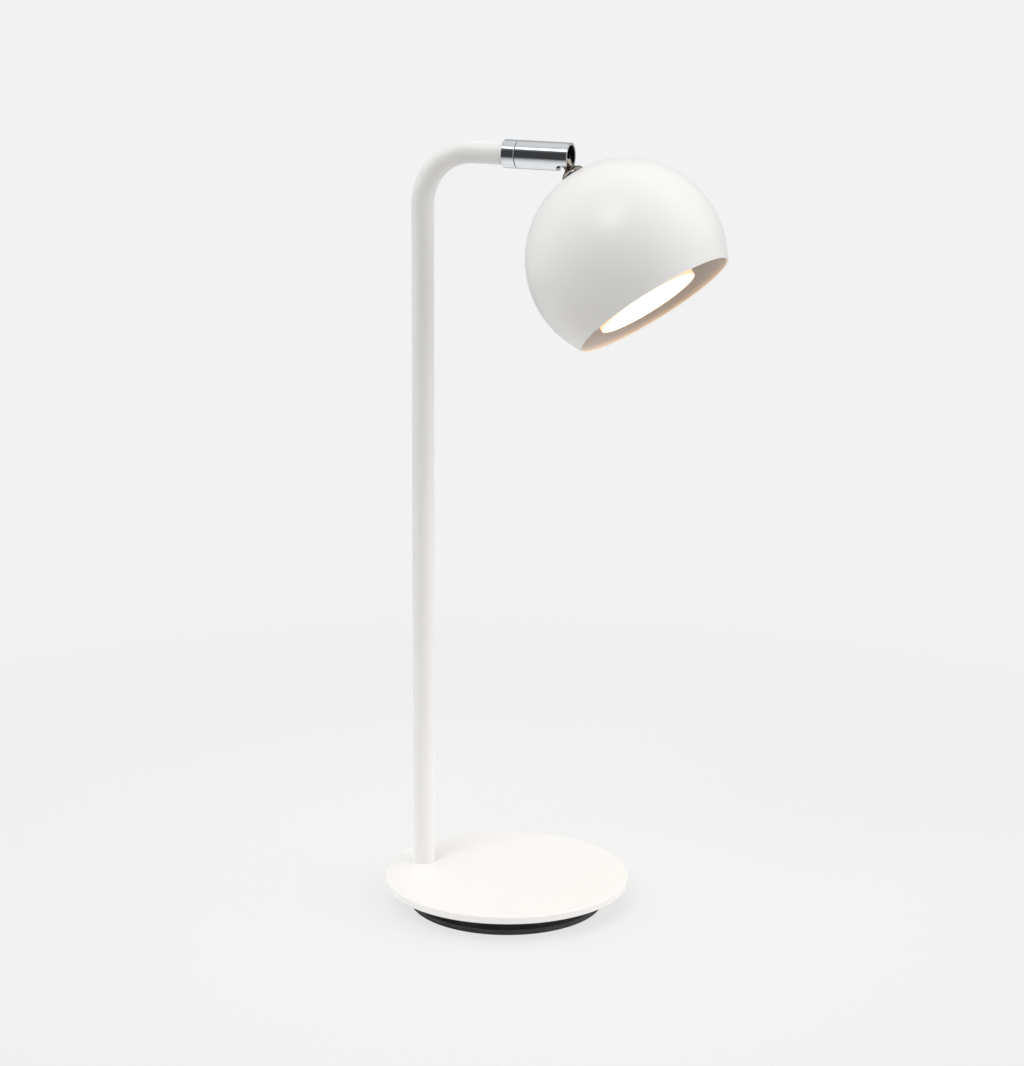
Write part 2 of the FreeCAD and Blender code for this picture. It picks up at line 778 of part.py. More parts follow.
def dome_washer():
    hole = knuckle_root_radius + dome_hole_clearance
    side_z = gasket_z - dome_side_height
    shoulder_z = gasket_z - dome_shoulder_height
    top_z = gasket_z - dome_height
    w = dome_wall
    slant = w * math.sqrt(0.5)
    outer = arc((dome_radius, side_z), (dome_shoulder_radius, shoulder_z), (hole, top_z))
    inner = arc((hole, top_z + w), (dome_shoulder_radius - slant, shoulder_z + slant),
                (dome_radius - w, side_z))
    edges = outline([(dome_radius - w, side_z), (dome_radius - w, gasket_z), (dome_radius, gasket_z),
                     (dome_radius, side_z)])
    edges.append(outer)
    edges += outline([(hole, top_z), (hole, top_z + w)])
    edges.append(inner)
    return to_shade(turned(edges))


# ---------------------------------------------------------------- shade
def shade_gasket():
    return to_shade(ring(dome_radius - gasket_inset, thread_radius + thread_clearance, gasket_z, land_z))


def shade_profile(wall, land):
    """Curve of one side of the shell: flat land, sphere, and a straight run to the rim."""
    radius = shade_radius - wall
    lead = math.atan2(rim_straight, shade_radius)
    slant = math.hypot(shade_radius, rim_straight)
    tangent = math.acos(-mouth_depth / slant) - lead
    start = math.asin(land / radius)
    middle = (start + tangent) / 2

    def on_sphere(angle):
        return (radius * math.sin(angle), shade_distance - radius * math.cos(angle))

    last = on_sphere(tangent)
    rim = (last[0] + rim_straight * math.cos(tangent), last[1] + rim_straight * math.sin(tangent))
    return on_sphere(start), on_sphere(middle), last, rim


def shade_shell():
    hole = thread_radius + thread_clearance
    inner_land = math.sqrt((shade_radius - shade_wall) ** 2 - (shade_distance - land_z - shade_wall) ** 2)
    a0, a1, a2, a3 = shade_profile(0, land_radius)
    b0, b1, b2, b3 = shade_profile(shade_wall, inner_land)
    edges = outline([(hole, land_z), a0])
    edges.append(arc(a0, a1, a2))
    edges += outline([a2, a3, b3, b2])
    edges.append(arc(b2, b1, b0))
    edges += outline([b0, (hole, land_z + shade_wall), (hole, land_z)])
    return to_shade(turned(edges))


def inner_washer():
    inner_land = math.sqrt((shade_radius - shade_wall) ** 2 - (shade_distance - land_z - shade_wall) ** 2)
    outer = inner_land - inner_washer_inset
    return to_shade(ring(outer, thread_radius + thread_clearance, washer_z, locknut_z))


def shade_locknut():
    top = locknut_z + locknut_thickness
    return to_shade(nut(locknut_flats, thread_radius + thread_clearance, locknut_z, top))


def coupling_sleeve():
    edge = 0.5
    end = coupling_z + coupling_length
    hole = thread_radius + thread_clearance
    r = coupling_radius
    return to_shade(lathe([(hole, coupling_z), (r - edge, coupling_z), (r, coupling_z + edge),
                           (r, end - edge), (r - edge, end), (hole, end)]))


def holder_tube():
    return to_shade(ring(thread_radius, holder_tube_bore, holder_tube_z, holder_tube_end_z))


def bridge_nuts():
    hole = thread_radius + thread_clearance
    above = nut(locknut_flats, hole, bridge_top_z - bridge_nut_thickness, bridge_top_z)
    low = bridge_top_z + bridge_thickness
    below = nut(locknut_flats, hole, low, low + bridge_nut_thickness)
    return to_shade(Part.makeCompound([above, below]))


def holder_bridge():
    t = bridge_thickness
    top_half = bridge_top_length / 2
    half = bridge_length / 2
    profile = [(-half, bridge_foot_z), (-top_half - t, bridge_foot_z), (-top_half, bridge_top_z),
               (top_half, bridge_top_z), (top_half + t, bridge_foot_z), (half, bridge_foot_z),
               (half, bridge_foot_z + t), (top_half, bridge_foot_z + t), (top_half - t, bridge_top_z + t),
               (t - top_half, bridge_top_z + t), (-top_half, bridge_foot_z + t), (-half, bridge_foot_z + t),
               (-half, bridge_foot_z)]
    corners = [point(x + lamp_offset, -bridge_width / 2, z) for x, z in profile]
    strip = Part.Face(Part.makePolygon(corners)).extrude(Y * bridge_width)
    cuts = [rod(thread_radius + thread_clearance, bridge_top_z - 1, bridge_top_z + t + 1)]
    for side in (-1, 1):
        x = lamp_offset + side * bridge_screw_circle
        cuts.append(rod(bridge_screw_radius + thread_clearance, bridge_foot_z - 1, bridge_foot_z + t + 1, x))
    return to_shade(strip.cut(cuts))


def holder_screws():
    pattern = screw(bridge_screw_radius, bridge_screw_head_radius, bridge_screw_head_height, bridge_foot_z,
                    bridge_thickness + bridge_screw_length)
    screws = []
    for side in (-1, 1):
        copy = pattern.copy()
        copy.translate(point(lamp_offset + side * bridge_screw_circle, 0, 0))
        screws.append(copy)
    return to_shade(Part.makeCompound(screws))


# ---------------------------------------------------------------- lampholder and lamp
def curved_slot(width, low, high, first, sweep):
    """Slot that follows the pin circle, with round ends."""
    inner = pin_circle - width / 2
    section = Part.Face(Part.makePolygon([point(inner, 0, low), point(inner + width, 0, low),
                                          point(inner + width, 0, high), point(inner, 0, high),
                                          point(inner, 0, low)]))
    section.rotate(ORIGIN, Z, first)
    track = section.revolve(ORIGIN, Z, sweep)
    ends = []
    for angle in (first, first + sweep):
        x = pin_circle * math.cos(math.radians(angle))
        y = pin_circle * math.sin(math.radians(angle))
        ends.append(rod(width / 2, low, high, x, y))
    return track.fuse(ends).removeSplitter()


def pin_slots():
    """Twist-lock slots for the two lamp pins, wide behind a narrow lip."""
    narrow = 2 * (pin_radius + pin_clearance)
    wide = 2 * (pin_head_radius + pin_clearance)
    floor = pin_head_z - contact_thickness
    cuts = []
    for first in (90, 270):
        entry = first - pin_twist
        cuts.append(curved_slot(narrow, holder_lip_z - 0.5, lamp_back_z + 1, entry, pin_twist))
        cuts.append(curved_slot(wide, floor, holder_lip_z, entry, pin_twist))
        x = pin_circle * math.cos(math.radians(entry))
        y = pin_circle * math.sin(math.radians(entry))
        cuts.append(rod(wide / 2, holder_lip_z - 0.5, lamp_back_z + 1, x, y))
    return cuts


def lampholder():
    e = holder_edge
    r = holder_radius
    body = lathe([(0, holder_z), (r - e, holder_z), (r, holder_z + e), (r, lamp_back_z),
                  (holder_recess_radius, lamp_back_z),
                  (holder_recess_radius, lamp_back_z - holder_recess_depth),
                  (0, lamp_back_z - holder_recess_depth)])
    cuts = pin_slots()
    for side in (-1, 1):
        x = side * bridge_screw_circle
        cuts.append(rod(bridge_screw_radius, holder_z - 1, holder_z + bridge_screw_length, x))
    cuts.append(rod(lead_radius + thread_clearance, holder_z - 1, holder_z + lead_socket_depth, -lamp_offset))
    body = body.cut(cuts)
    body.translate(point(lamp_offset, 0, 0))
    return to_shade(body)


def holder_contacts():
    """Round contacts at the bottom of the pin pockets."""
    low = pin_head_z - contact_thickness
    discs = [rod(pin_head_radius, low, pin_head_z, lamp_offset, y) for y in (-pin_circle, pin_circle)]
    return to_shade(Part.makeCompound(discs))


def lamp_pins():
    pins = []
    for y in (-pin_circle, pin_circle):
        shank = rod(pin_radius, pin_head_z, lamp_back_z + lamp_back_wall, lamp_offset, y)
        head = rod(pin_head_radius, pin_head_z, pin_head_z + pin_head_height, lamp_offset, y)
        pins.append(shank.fuse(head).removeSplitter())
    return to_shade(Part.makeCompound(pins))


def lamp_body():
    r = lamp_radius
    w = lamp_wall
    back = lamp_back_z
    floor = back + lamp_back_wall
    rim = lamp_face_z - lamp_rim_drop
    side = rim - lamp_side_height
    edges = outline([(0, back), (lamp_back_radius, back)])
    edges.append(bowed((lamp_back_radius, back), (r, side), lamp_flank_bow))
    edges += outline([(r, side), (r, rim), (r - w, rim), (r - w, side)])
    edges.append(bowed((r - w, side), (lamp_back_radius - w, floor), -lamp_flank_bow))
    edges += outline([(lamp_back_radius - w, floor), (0, floor), (0, back)])
    body = turned(edges)
    body = body.cut([rod(pin_radius, back - 1, floor + 1, 0, y) for y in (-pin_circle, pin_circle)])
    body.translate(point(lamp_offset, 0, 0))
    return to_shade(body)


def lamp_diffuser():
    r = lamp_radius - lamp_wall - thread_clearance
    crown_radius = (r ** 2 + diffuser_crown ** 2) / (2 * diffuser_crown)
    disc = rod(r, lamp_face_z - diffuser_thickness, lamp_face_z, lamp_offset)
    crown = Part.makeSphere(crown_radius, point(lamp_offset, 0, lamp_face_z - crown_radius))
    return to_shade(disc.common(crown))


def light_board():
    """Board that carries the light source, on its standoff ring inside the lamp."""
    floor = lamp_back_z + lamp_back_wall
    r = lamp_back_radius - lamp_wall - board_clearance
    deck = floor + board_standoff
    body = lathe([(r - 2, floor), (r, floor), (r, deck + board_thickness), (0, deck + board_thickness),
                  (0, deck), (r - 2, deck)])
    body.translate(point(lamp_offset, 0, 0))
    return to_shade(body)


def shade_lead():
    start = knuckle_lug_depth + knuckle_taper
    return to_shade(rod(lead_radius, start, holder_z + lead_socket_depth))


# ---------------------------------------------------------------- nodes
NODES = {
    "base_plate": base_plate,
    "ballast": ballast,
    "ballast_screws": ballast_screws,
    "foot_ring": foot_ring,
    "bottom_cover": bottom_cover,
    "cover_screws": cover_screws,
    "cord_inlet": cord_inlet,
    "cord_grommet": cord_grommet,
    "terminal_block": terminal_block,
    "terminal_clamps": terminal_clamps,
    "terminal_screws": terminal_screws,
    "stem_lead": stem_lead,
    "stem_tube": stem_tube,
    "stem_insert": stem_insert,
    "stem_nipple": stem_nipple,
    "stem_washer": stem_washer,
    "stem_nut": stem_nut,
    "arm_insert": arm_insert,
    "collar": collar,
    "swivel_stud": swivel_stud,
    "swivel_washer": swivel_washer,
    "stop_pin": stop_pin,
    "wave_washer": wave_washer,
    "swivel_nut": swivel_nut,
    "barrel": barrel,
    "cradle": cradle,
    "cradle_screw": cradle_screw,
    "trunnion_pins": trunnion_pins,
    "friction_washers": friction_washers,
    "knuckle": knuckle,
    "dome_washer": dome_washer,
    "shade_gasket": shade_gasket,
    "shade_shell": shade_shell,
    "inner_washer": inner_washer,
    "shade_locknut": shade_locknut,
    "coupling_sleeve": coupling_sleeve,
    "holder_tube": holder_tube,
    "bridge_nuts": bridge_nuts,
    "holder_bridge": holder_bridge,
    "holder_screws": holder_screws,
    "lampholder": lampholder,
    "holder_contacts": holder_contacts,
    "lamp_body": lamp_body,
    "lamp_pins": lamp_pins,
    "lamp_diffuser": lamp_diffuser,
    "light_board": light_board,
    "shade_lead": shade_lead,
}


def main():
    os.makedirs("parts", exist_ok=True)
    for name, make in NODES.items():
        shape = make()
        box = shape.BoundBox
        print(name, len(shape.Solids), shape.isValid(), round(shape.Volume, 1),
              [round(v, 1) for v in (box.XMin, box.YMin, box.ZMin, box.XMax, box.YMax, box.ZMax)])
        shape.exportStep("parts/" + name + ".step")


main()
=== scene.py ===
import json
import logging
import math
from collections.abc import Callable, Mapping, Sequence
from dataclasses import dataclass, replace
from enum import Enum
from typing import Any

import bpy
from mathutils import Matrix, Vector


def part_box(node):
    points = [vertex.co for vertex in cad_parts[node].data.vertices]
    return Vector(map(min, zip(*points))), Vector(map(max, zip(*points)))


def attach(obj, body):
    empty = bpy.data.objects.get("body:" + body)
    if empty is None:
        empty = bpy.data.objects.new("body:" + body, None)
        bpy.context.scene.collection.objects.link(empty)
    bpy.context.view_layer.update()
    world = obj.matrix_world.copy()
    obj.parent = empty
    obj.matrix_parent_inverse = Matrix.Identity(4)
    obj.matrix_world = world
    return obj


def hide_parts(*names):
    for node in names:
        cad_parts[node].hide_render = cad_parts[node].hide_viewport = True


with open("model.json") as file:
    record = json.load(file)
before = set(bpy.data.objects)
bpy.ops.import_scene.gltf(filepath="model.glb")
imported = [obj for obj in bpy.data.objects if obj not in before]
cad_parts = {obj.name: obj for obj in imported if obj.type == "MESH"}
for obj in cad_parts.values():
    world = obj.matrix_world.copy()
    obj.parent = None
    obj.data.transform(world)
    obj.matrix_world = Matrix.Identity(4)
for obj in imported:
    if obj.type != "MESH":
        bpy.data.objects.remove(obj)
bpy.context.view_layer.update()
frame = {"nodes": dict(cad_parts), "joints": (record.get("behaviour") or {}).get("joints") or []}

log = logging.getLogger("dome_shade_desk_lamp")

Point = tuple[float, float, float]
Tone = tuple[float, float, float]
Station = tuple[float, float]
MM = 0.001


class Body(Enum):
    """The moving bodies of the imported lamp."""

    STAND = "stand"
    BARREL = "swivel_barrel"
    HEAD = "shade_head"


class Caps(Enum):
    """Which ends of a turned profile are closed with a disc."""

    NONE = "none"
    BOTH = "both"


# ---------------------------------------------------------------- shader arithmetic
class Wire:
    """An output socket of a shader node that takes part in arithmetic."""

    def __init__(self, graph: "Graph", socket: bpy.types.NodeSocket | None) -> None:
        """Keep the socket and the graph that it belongs to."""
        self.graph = graph
        self.socket = socket

    def _maths(self, operation: str, first: "Wire | float", second: "Wire | float") -> "Wire":
        """Add one Math node.

        Args:
            operation: the Math node's operation.
            first: its first value.
            second: its second value.

        Returns:
            The node's output.
        """
        return self.graph.node("ShaderNodeMath", {"operation": operation}, {0: first, 1: second})

    def __add__(self, other: "Wire | float") -> "Wire":
        """This value plus another."""
        return self._maths("ADD", self, other)

    __radd__ = __add__

    def __sub__(self, other: "Wire | float") -> "Wire":
        """This value less another."""
        return self._maths("SUBTRACT", self, other)

    def __rsub__(self, other: "Wire | float") -> "Wire":
        """Another value less this one."""
        return self._maths("SUBTRACT", other, self)

    def __mul__(self, other: "Wire | float") -> "Wire":
        """This value times another."""
        return self._maths("MULTIPLY", self, other)

    __rmul__ = __mul__


class Graph:
    """The node tree of one material, or of the world."""

    def __init__(self, tree: bpy.types.NodeTree) -> None:
        """Empty the tree, ready for its own nodes."""
        tree.nodes.clear()
        self.tree = tree

    def node(self, kind: str, settings: Mapping[str, Any] | None = None,
             sockets: Mapping[str | int, Any] | None = None, output: str | int = 0) -> Wire:
        """Add a node, set it, and feed its sockets.

        Args:
            kind: the node's type.
            settings: its properties, which are set first.
            sockets: a value or a Wire for each of its inputs.
            output: the output that is handed back.

        Returns:
            That output.
        """
        made = self.tree.nodes.new(kind)
        for name, value in (settings or {}).items():
            setattr(made, name, value)
        for key, value in (sockets or {}).items():
            if isinstance(value, Wire):
                self.tree.links.new(value.socket, made.inputs[key])
            else:
                made.inputs[key].default_value = value
        return Wire(self, made.outputs[output] if len(made.outputs) else None)

    def place(self) -> Wire:
        """The point of the surface, in the object's own coordinates."""
        return self.node("ShaderNodeTexCoord", output="Object")

    def noise(self, scale: float, detail: float = 2.0, where: Wire | None = None) -> Wire:
        """Smooth random value from 0 to 1.

        Args:
            scale: lumps per metre.
            detail: finer layers on top.
            where: the point it is read at, which is the surface's own unless given.

        Returns:
            The noise.
        """
        sockets = {"Vector": where or self.place(), "Scale": scale, "Detail": detail, "Roughness": 0.55}
        return self.node("ShaderNodeTexNoise", sockets=sockets)

    def along(self, axis: Point, where: Wire | None = None) -> Wire:
        """Distance along an axis, in metres."""
        sockets = {0: where or self.place(), 1: axis}
        return self.node("ShaderNodeVectorMath", {"operation": "DOT_PRODUCT"}, sockets, "Value")

    def smooth(self, value: Wire, low: float, high: float) -> Wire:
        """A soft step from 0 at low to 1 at high."""
        settings = {"interpolation_type": "SMOOTHSTEP"}
        return self.node("ShaderNodeMapRange", settings, {"Value": value, "From Min": low, "From Max": high})

    def blend(self, share: Wire, first: "Tone | Wire", second: "Tone | Wire") -> Wire:
        """A colour between two others.

        Args:
            share: how much of the second colour there is.
            first: the colour at a share of 0.
            second: the colour at a share of 1.

        Returns:
            The colour.
        """
        ends = [tone if isinstance(tone, Wire) else (*tone, 1.0) for tone in (first, second)]
        sockets = {0: share, 6: ends[0], 7: ends[1]}
        return self.node("ShaderNodeMix", {"data_type": "RGBA"}, sockets, 2)

    def bump(self, height: Wire, depth: float) -> Wire:
        """A fine relief.

        Args:
            height: the relief, from 0 to 1.
            depth: how deep it is, in metres.

        Returns:
            The normal.
        """
        return self.node("ShaderNodeBump", sockets={"Height": height, "Distance": depth})

    def principled(self, **sockets: Any) -> Wire:
        """The surface shader, its sockets named with _ for each space."""
        named = {name.replace("_", " "): value for name, value in sockets.items()}
        return self.node("ShaderNodeBsdfPrincipled", sockets=named)


# ---------------------------------------------------------------- finishes
@dataclass(frozen=True)
class Finish:
    """A finish of the lamp, made into a material at its first use."""

    name: str

    def material(self) -> bpy.types.Material:
        """The material of this finish."""
        known = bpy.data.materials.get(self.name)
        if known is not None:
            return known
        material = bpy.data.materials.new(self.name)
        material.use_nodes = True
        graph = Graph(material.node_tree)
        graph.node("ShaderNodeOutputMaterial", sockets={"Surface": self.surface(graph)})
        return material

    def surface(self, graph: Graph) -> Wire:
        """Build the finish's own nodes.

        Args:
            graph: the material's empty graph.

        Returns:
            The surface shader.
        """
        raise NotImplementedError


@dataclass(frozen=True)
class Enamel(Finish):
    """Sprayed and stoved white paint: satin, with a faint orange peel."""

    tone: Tone = (0.95, 0.943, 0.928)
    shade_tone: Tone = (0.935, 0.928, 0.913)
    roughness: float = 0.34
    peel_per_metre: float = 750.0
    peel_depth: float = 5e-6

    def surface(self, graph: Graph) -> Wire:
        """White paint whose peel, gloss and tone drift a little over the piece."""
        drift = graph.noise(18.0, 3.0)
        peel = graph.noise(self.peel_per_metre, 1.0) * 0.8 + graph.noise(self.peel_per_metre * 4, 1.0) * 0.2
        return graph.principled(
            Base_Color=graph.blend(drift, self.tone, self.shade_tone),
            Roughness=drift * 0.05 + (self.roughness - 0.025),
            IOR=1.46,
            Normal=graph.bump(peel, self.peel_depth),
        )


@dataclass(frozen=True)
class Chrome(Finish):
    """Polished chrome on a turned part, with the faintest rings round its axis.

    Inside the bore the metal is painted dark and rough: painted shade in the recess.
    """

    axis: Point = (1.0, 0.0, 0.0)
    tone: Tone = (0.83, 0.86, 0.89)
    roughness: float = 0.06
    rings_per_metre: float = 5200.0
    ring_depth: float = 4e-7
    origin: Point = (0.0, 0.0, 0.0)
    bore: float = 0.0
    # near-black tone painted inside the bore as painted shade
    painted_bore_shade_tone: Tone = (0.05, 0.047, 0.044)

    def surface(self, graph: Graph) -> Wire:
        """Mirror plating over turned rings, a little hazed where hands have been."""
        along = graph.along(self.axis)
        # plated is 0 inside the bore, where the dark tone and extra roughness are painted shade
        plated = graph.smooth(self._from_axis(graph), self.bore, self.bore + 0.3 * MM)
        stretched = graph.node("ShaderNodeCombineXYZ", sockets={"X": along})
        rings = graph.noise(self.rings_per_metre, 2.0, stretched)
        haze = graph.smooth(graph.noise(95.0, 4.0), 0.45, 0.75)
        polished = graph.blend(haze, self.tone, tuple(0.96 * part for part in self.tone))
        return graph.principled(
            Base_Color=graph.blend(plated, self.painted_bore_shade_tone, polished),
            Metallic=1.0,
            Roughness=haze * 0.04 + (1.0 - plated) * 0.4 + self.roughness,
            Normal=graph.bump(rings, self.ring_depth),
        )

    def _from_axis(self, graph: Graph) -> Wire:
        """Distance from the part's axis, in metres."""
        arm = graph.node("ShaderNodeVectorMath", {"operation": "SUBTRACT"},
                         {0: graph.place(), 1: self.origin})
        moment = graph.node("ShaderNodeVectorMath", {"operation": "CROSS_PRODUCT"}, {0: arm, 1: self.axis})
        return graph.node("ShaderNodeVectorMath", {"operation": "LENGTH"}, {0: moment}, "Value")


@dataclass(frozen=True)
class Plated(Finish):
    """Zinc plated, milled or pressed metal, with cloudy patches and rubbed places."""

    tone: Tone = (0.60, 0.61, 0.635)
    dull_tone: Tone = (0.47, 0.475, 0.49)
    roughness: float = 0.34
    grain_per_metre: float = 420.0
    grain_depth: float = 6e-6

    def surface(self, graph: Graph) -> Wire:
        """Metal whose colour and gloss go cloudy together."""
        clouds = graph.smooth(graph.noise(160.0, 4.0), 0.3, 0.7)
        return graph.principled(
            Base_Color=graph.blend(clouds, self.tone, self.dull_tone),
            Metallic=1.0,
            Roughness=clouds * 0.14 + (self.roughness - 0.05),
            Normal=graph.bump(graph.noise(self.grain_per_metre, 4.0), self.grain_depth),
        )


@dataclass(frozen=True)
class Moulded(Finish):
    """Moulded plastic or rubber, with the fine texture of its mould."""

    tone: Tone = (0.02, 0.02, 0.022)
    worn_tone: Tone = (0.032, 0.032, 0.034)
    roughness: float = 0.5
    texture_per_metre: float = 1300.0
    texture_depth: float = 1.2e-5

    def surface(self, graph: Graph) -> Wire:
        """A textured skin, slightly paler and rougher in patches."""
        patches = graph.smooth(graph.noise(60.0, 3.0), 0.35, 0.7)
        return graph.principled(
            Base_Color=graph.blend(patches, self.tone, self.worn_tone),
            Roughness=patches * 0.1 + (self.roughness - 0.03),
            Normal=graph.bump(graph.noise(self.texture_per_metre, 2.0), self.texture_depth),
            **self.light(graph),
        )

    def light(self, graph: Graph) -> dict[str, Any]:
        """The sockets that make the moulding glow, which most mouldings don't.

        Args:
            graph: the material's graph.

        Returns:
            The surface shader's emission sockets.
        """
        return {}


@dataclass(frozen=True)
class CastPaint(Finish):
    """Black paint over a cast surface: small dips under a thin skin."""

    tone: Tone = (0.012, 0.012, 0.013)
    dust_tone: Tone = (0.03, 0.03, 0.031)
    roughness: float = 0.52

    def surface(self, graph: Graph) -> Wire:
        """Dips of two sizes, and a little dust that greys the upper skin."""
        dust = graph.smooth(graph.noise(45.0, 5.0), 0.45, 0.8)
        dips = graph.noise(260.0, 3.0) * 0.7 + graph.noise(1400.0, 1.0) * 0.3
        return graph.principled(
            Base_Color=graph.blend(dust, self.tone, self.dust_tone),
            Roughness=dust * 0.15 + self.roughness,
            Specular_IOR_Level=0.2,
            Normal=graph.bump(dips, 3e-5),
        )


@dataclass(frozen=True)
class Opal(Finish):
    """Opal plastic, lit from behind, a shade deeper in colour towards its edge."""

    centre: Point = (0.0, 0.0, 0.0)
    radius: float = 0.0365
    glow: Tone = (1.0, 0.55, 0.20)
    edge_glow: Tone = (0.11, 0.066, 0.052)
    strength: float = 14.0
    fade_start: float = 0.86
    fade_end: float = 1.02

    def surface(self, graph: Graph) -> Wire:
        """Light that fades towards the rim of the disc."""
        away = graph.node("ShaderNodeVectorMath", {"operation": "DISTANCE"},
                          {0: graph.place(), 1: self.centre}, "Value")
        edge = graph.smooth(away, self.fade_start * self.radius, self.fade_end * self.radius)
        return graph.principled(
            Base_Color=graph.blend(graph.noise(90.0, 2.0), (0.88, 0.86, 0.82), (0.85, 0.83, 0.79)),
            Roughness=0.38,
            Emission_Color=graph.blend(edge, self.glow, self.edge_glow),
            Emission_Strength=self.strength,
            Normal=graph.bump(graph.noise(1100.0, 2.0), 6e-6),
        )


@dataclass(frozen=True)
class PaintedGlowMoulding(Moulded):
    """Thin pale moulding whose flank is given a painted glow, which lights the inside of the shade."""

    axis: Point = (0.0, 0.0, 1.0)
    back: float = 0.0
    depth: float = 0.018
    painted_glow: Tone = (1.0, 0.46, 0.12)
    strength: float = 0.9

    def light(self, graph: Graph) -> dict[str, Any]:
        """Painted glow that grows towards the lamp's face."""
        forward = graph.along(self.axis) - self.back
        # lit sets how much painted glow each point of the flank gets, none at the back
        lit = graph.smooth(forward, 0.1 * self.depth, self.depth)
        dark = (0.0, 0.0, 0.0)
        return {"Emission_Color": graph.blend(lit, dark, self.painted_glow), "Emission_Strength": self.strength}


@dataclass(frozen=True)
class Paper(Finish):
    """The studio's pale floor."""

    tone: Tone = (0.87, 0.87, 0.87)
    painted_far_shade_tone: Tone = (0.15, 0.15, 0.15)
    backdrop: float = 0.887
    evenness: float = 0.78
    far_shade_from: float = 0.1
    far_shade_to: float = 1.6
    even_from: float = 0.35
    even_to: float = 0.9

    def surface(self, graph: Graph) -> Wire:
        """Matt paper, darker far off where painted shade is laid on it. The camera sees it evened out, with
        the lamp's shadows kept.
        """
        away = graph.node("ShaderNodeVectorMath", {"operation": "LENGTH"}, {0: graph.place()}, "Value")
        # painted shade: the paper's tone falls to a dark grey far from the lamp
        dull = graph.smooth(away, self.far_shade_from, self.far_shade_to)
        paper = graph.principled(
            Base_Color=graph.blend(dull, self.tone, self.painted_far_shade_tone),
            Roughness=0.9,
            Specular_IOR_Level=0.0,
        )
        even = graph.node("ShaderNodeEmission", sockets={"Strength": self.backdrop})
        camera_ray = graph.node("ShaderNodeLightPath", output="Is Camera Ray")
        share = graph.smooth(away, self.even_from, self.even_to) * (1.0 - self.evenness) + self.evenness
        return graph.node("ShaderNodeMixShader", sockets={0: camera_ray * share, 1: paper, 2: even})


class Slot(Enum):
    """The record's material slots, each with its finish."""

    WHITE_ENAMEL = Enamel("sprayed_white")
    BALLAST_BLACK = CastPaint("painted_casting")
    RUBBER_GREY = Moulded("foot_rubber", (0.060, 0.060, 0.062), (0.085, 0.085, 0.086), 0.78, 900.0, 2e-5)
    POLISHED_CHROME = Chrome("turned_chrome")
    ZINC_STEEL = Plated("zinc_plate")
    BLACK_NYLON = Moulded("nylon", (0.022, 0.022, 0.023), (0.03, 0.03, 0.031), 0.45)
    BRASS_CONTACTS = Plated("contact_brass", (0.80, 0.60, 0.29), (0.66, 0.47, 0.21), 0.3)
    LEAD_SHEATH = Moulded("lead_sheath_skin", (0.62, 0.62, 0.60), (0.55, 0.55, 0.53), 0.42, 700.0, 8e-6)
    LAMPHOLDER_WHITE = Moulded("holder_moulding", (0.83, 0.82, 0.79), (0.79, 0.78, 0.75), 0.4, 900.0, 8e-6)
    # the lamp housing's finish has a painted glow on its flank
    LAMP_HOUSING = PaintedGlowMoulding("lamp_moulding_painted_glow", (0.86, 0.845, 0.81), (0.82, 0.805, 0.77), 0.36, 1000.0,
                                   6e-6)
    OPAL_DIFFUSER = Opal("opal_plastic")
    BOARD_ALUMINIUM = Plated("board_plate", (0.80, 0.80, 0.81), (0.70, 0.70, 0.71), 0.4)

    @property
    def slot_name(self) -> str:
        """The name the record gives this slot."""
        return self.name.lower()


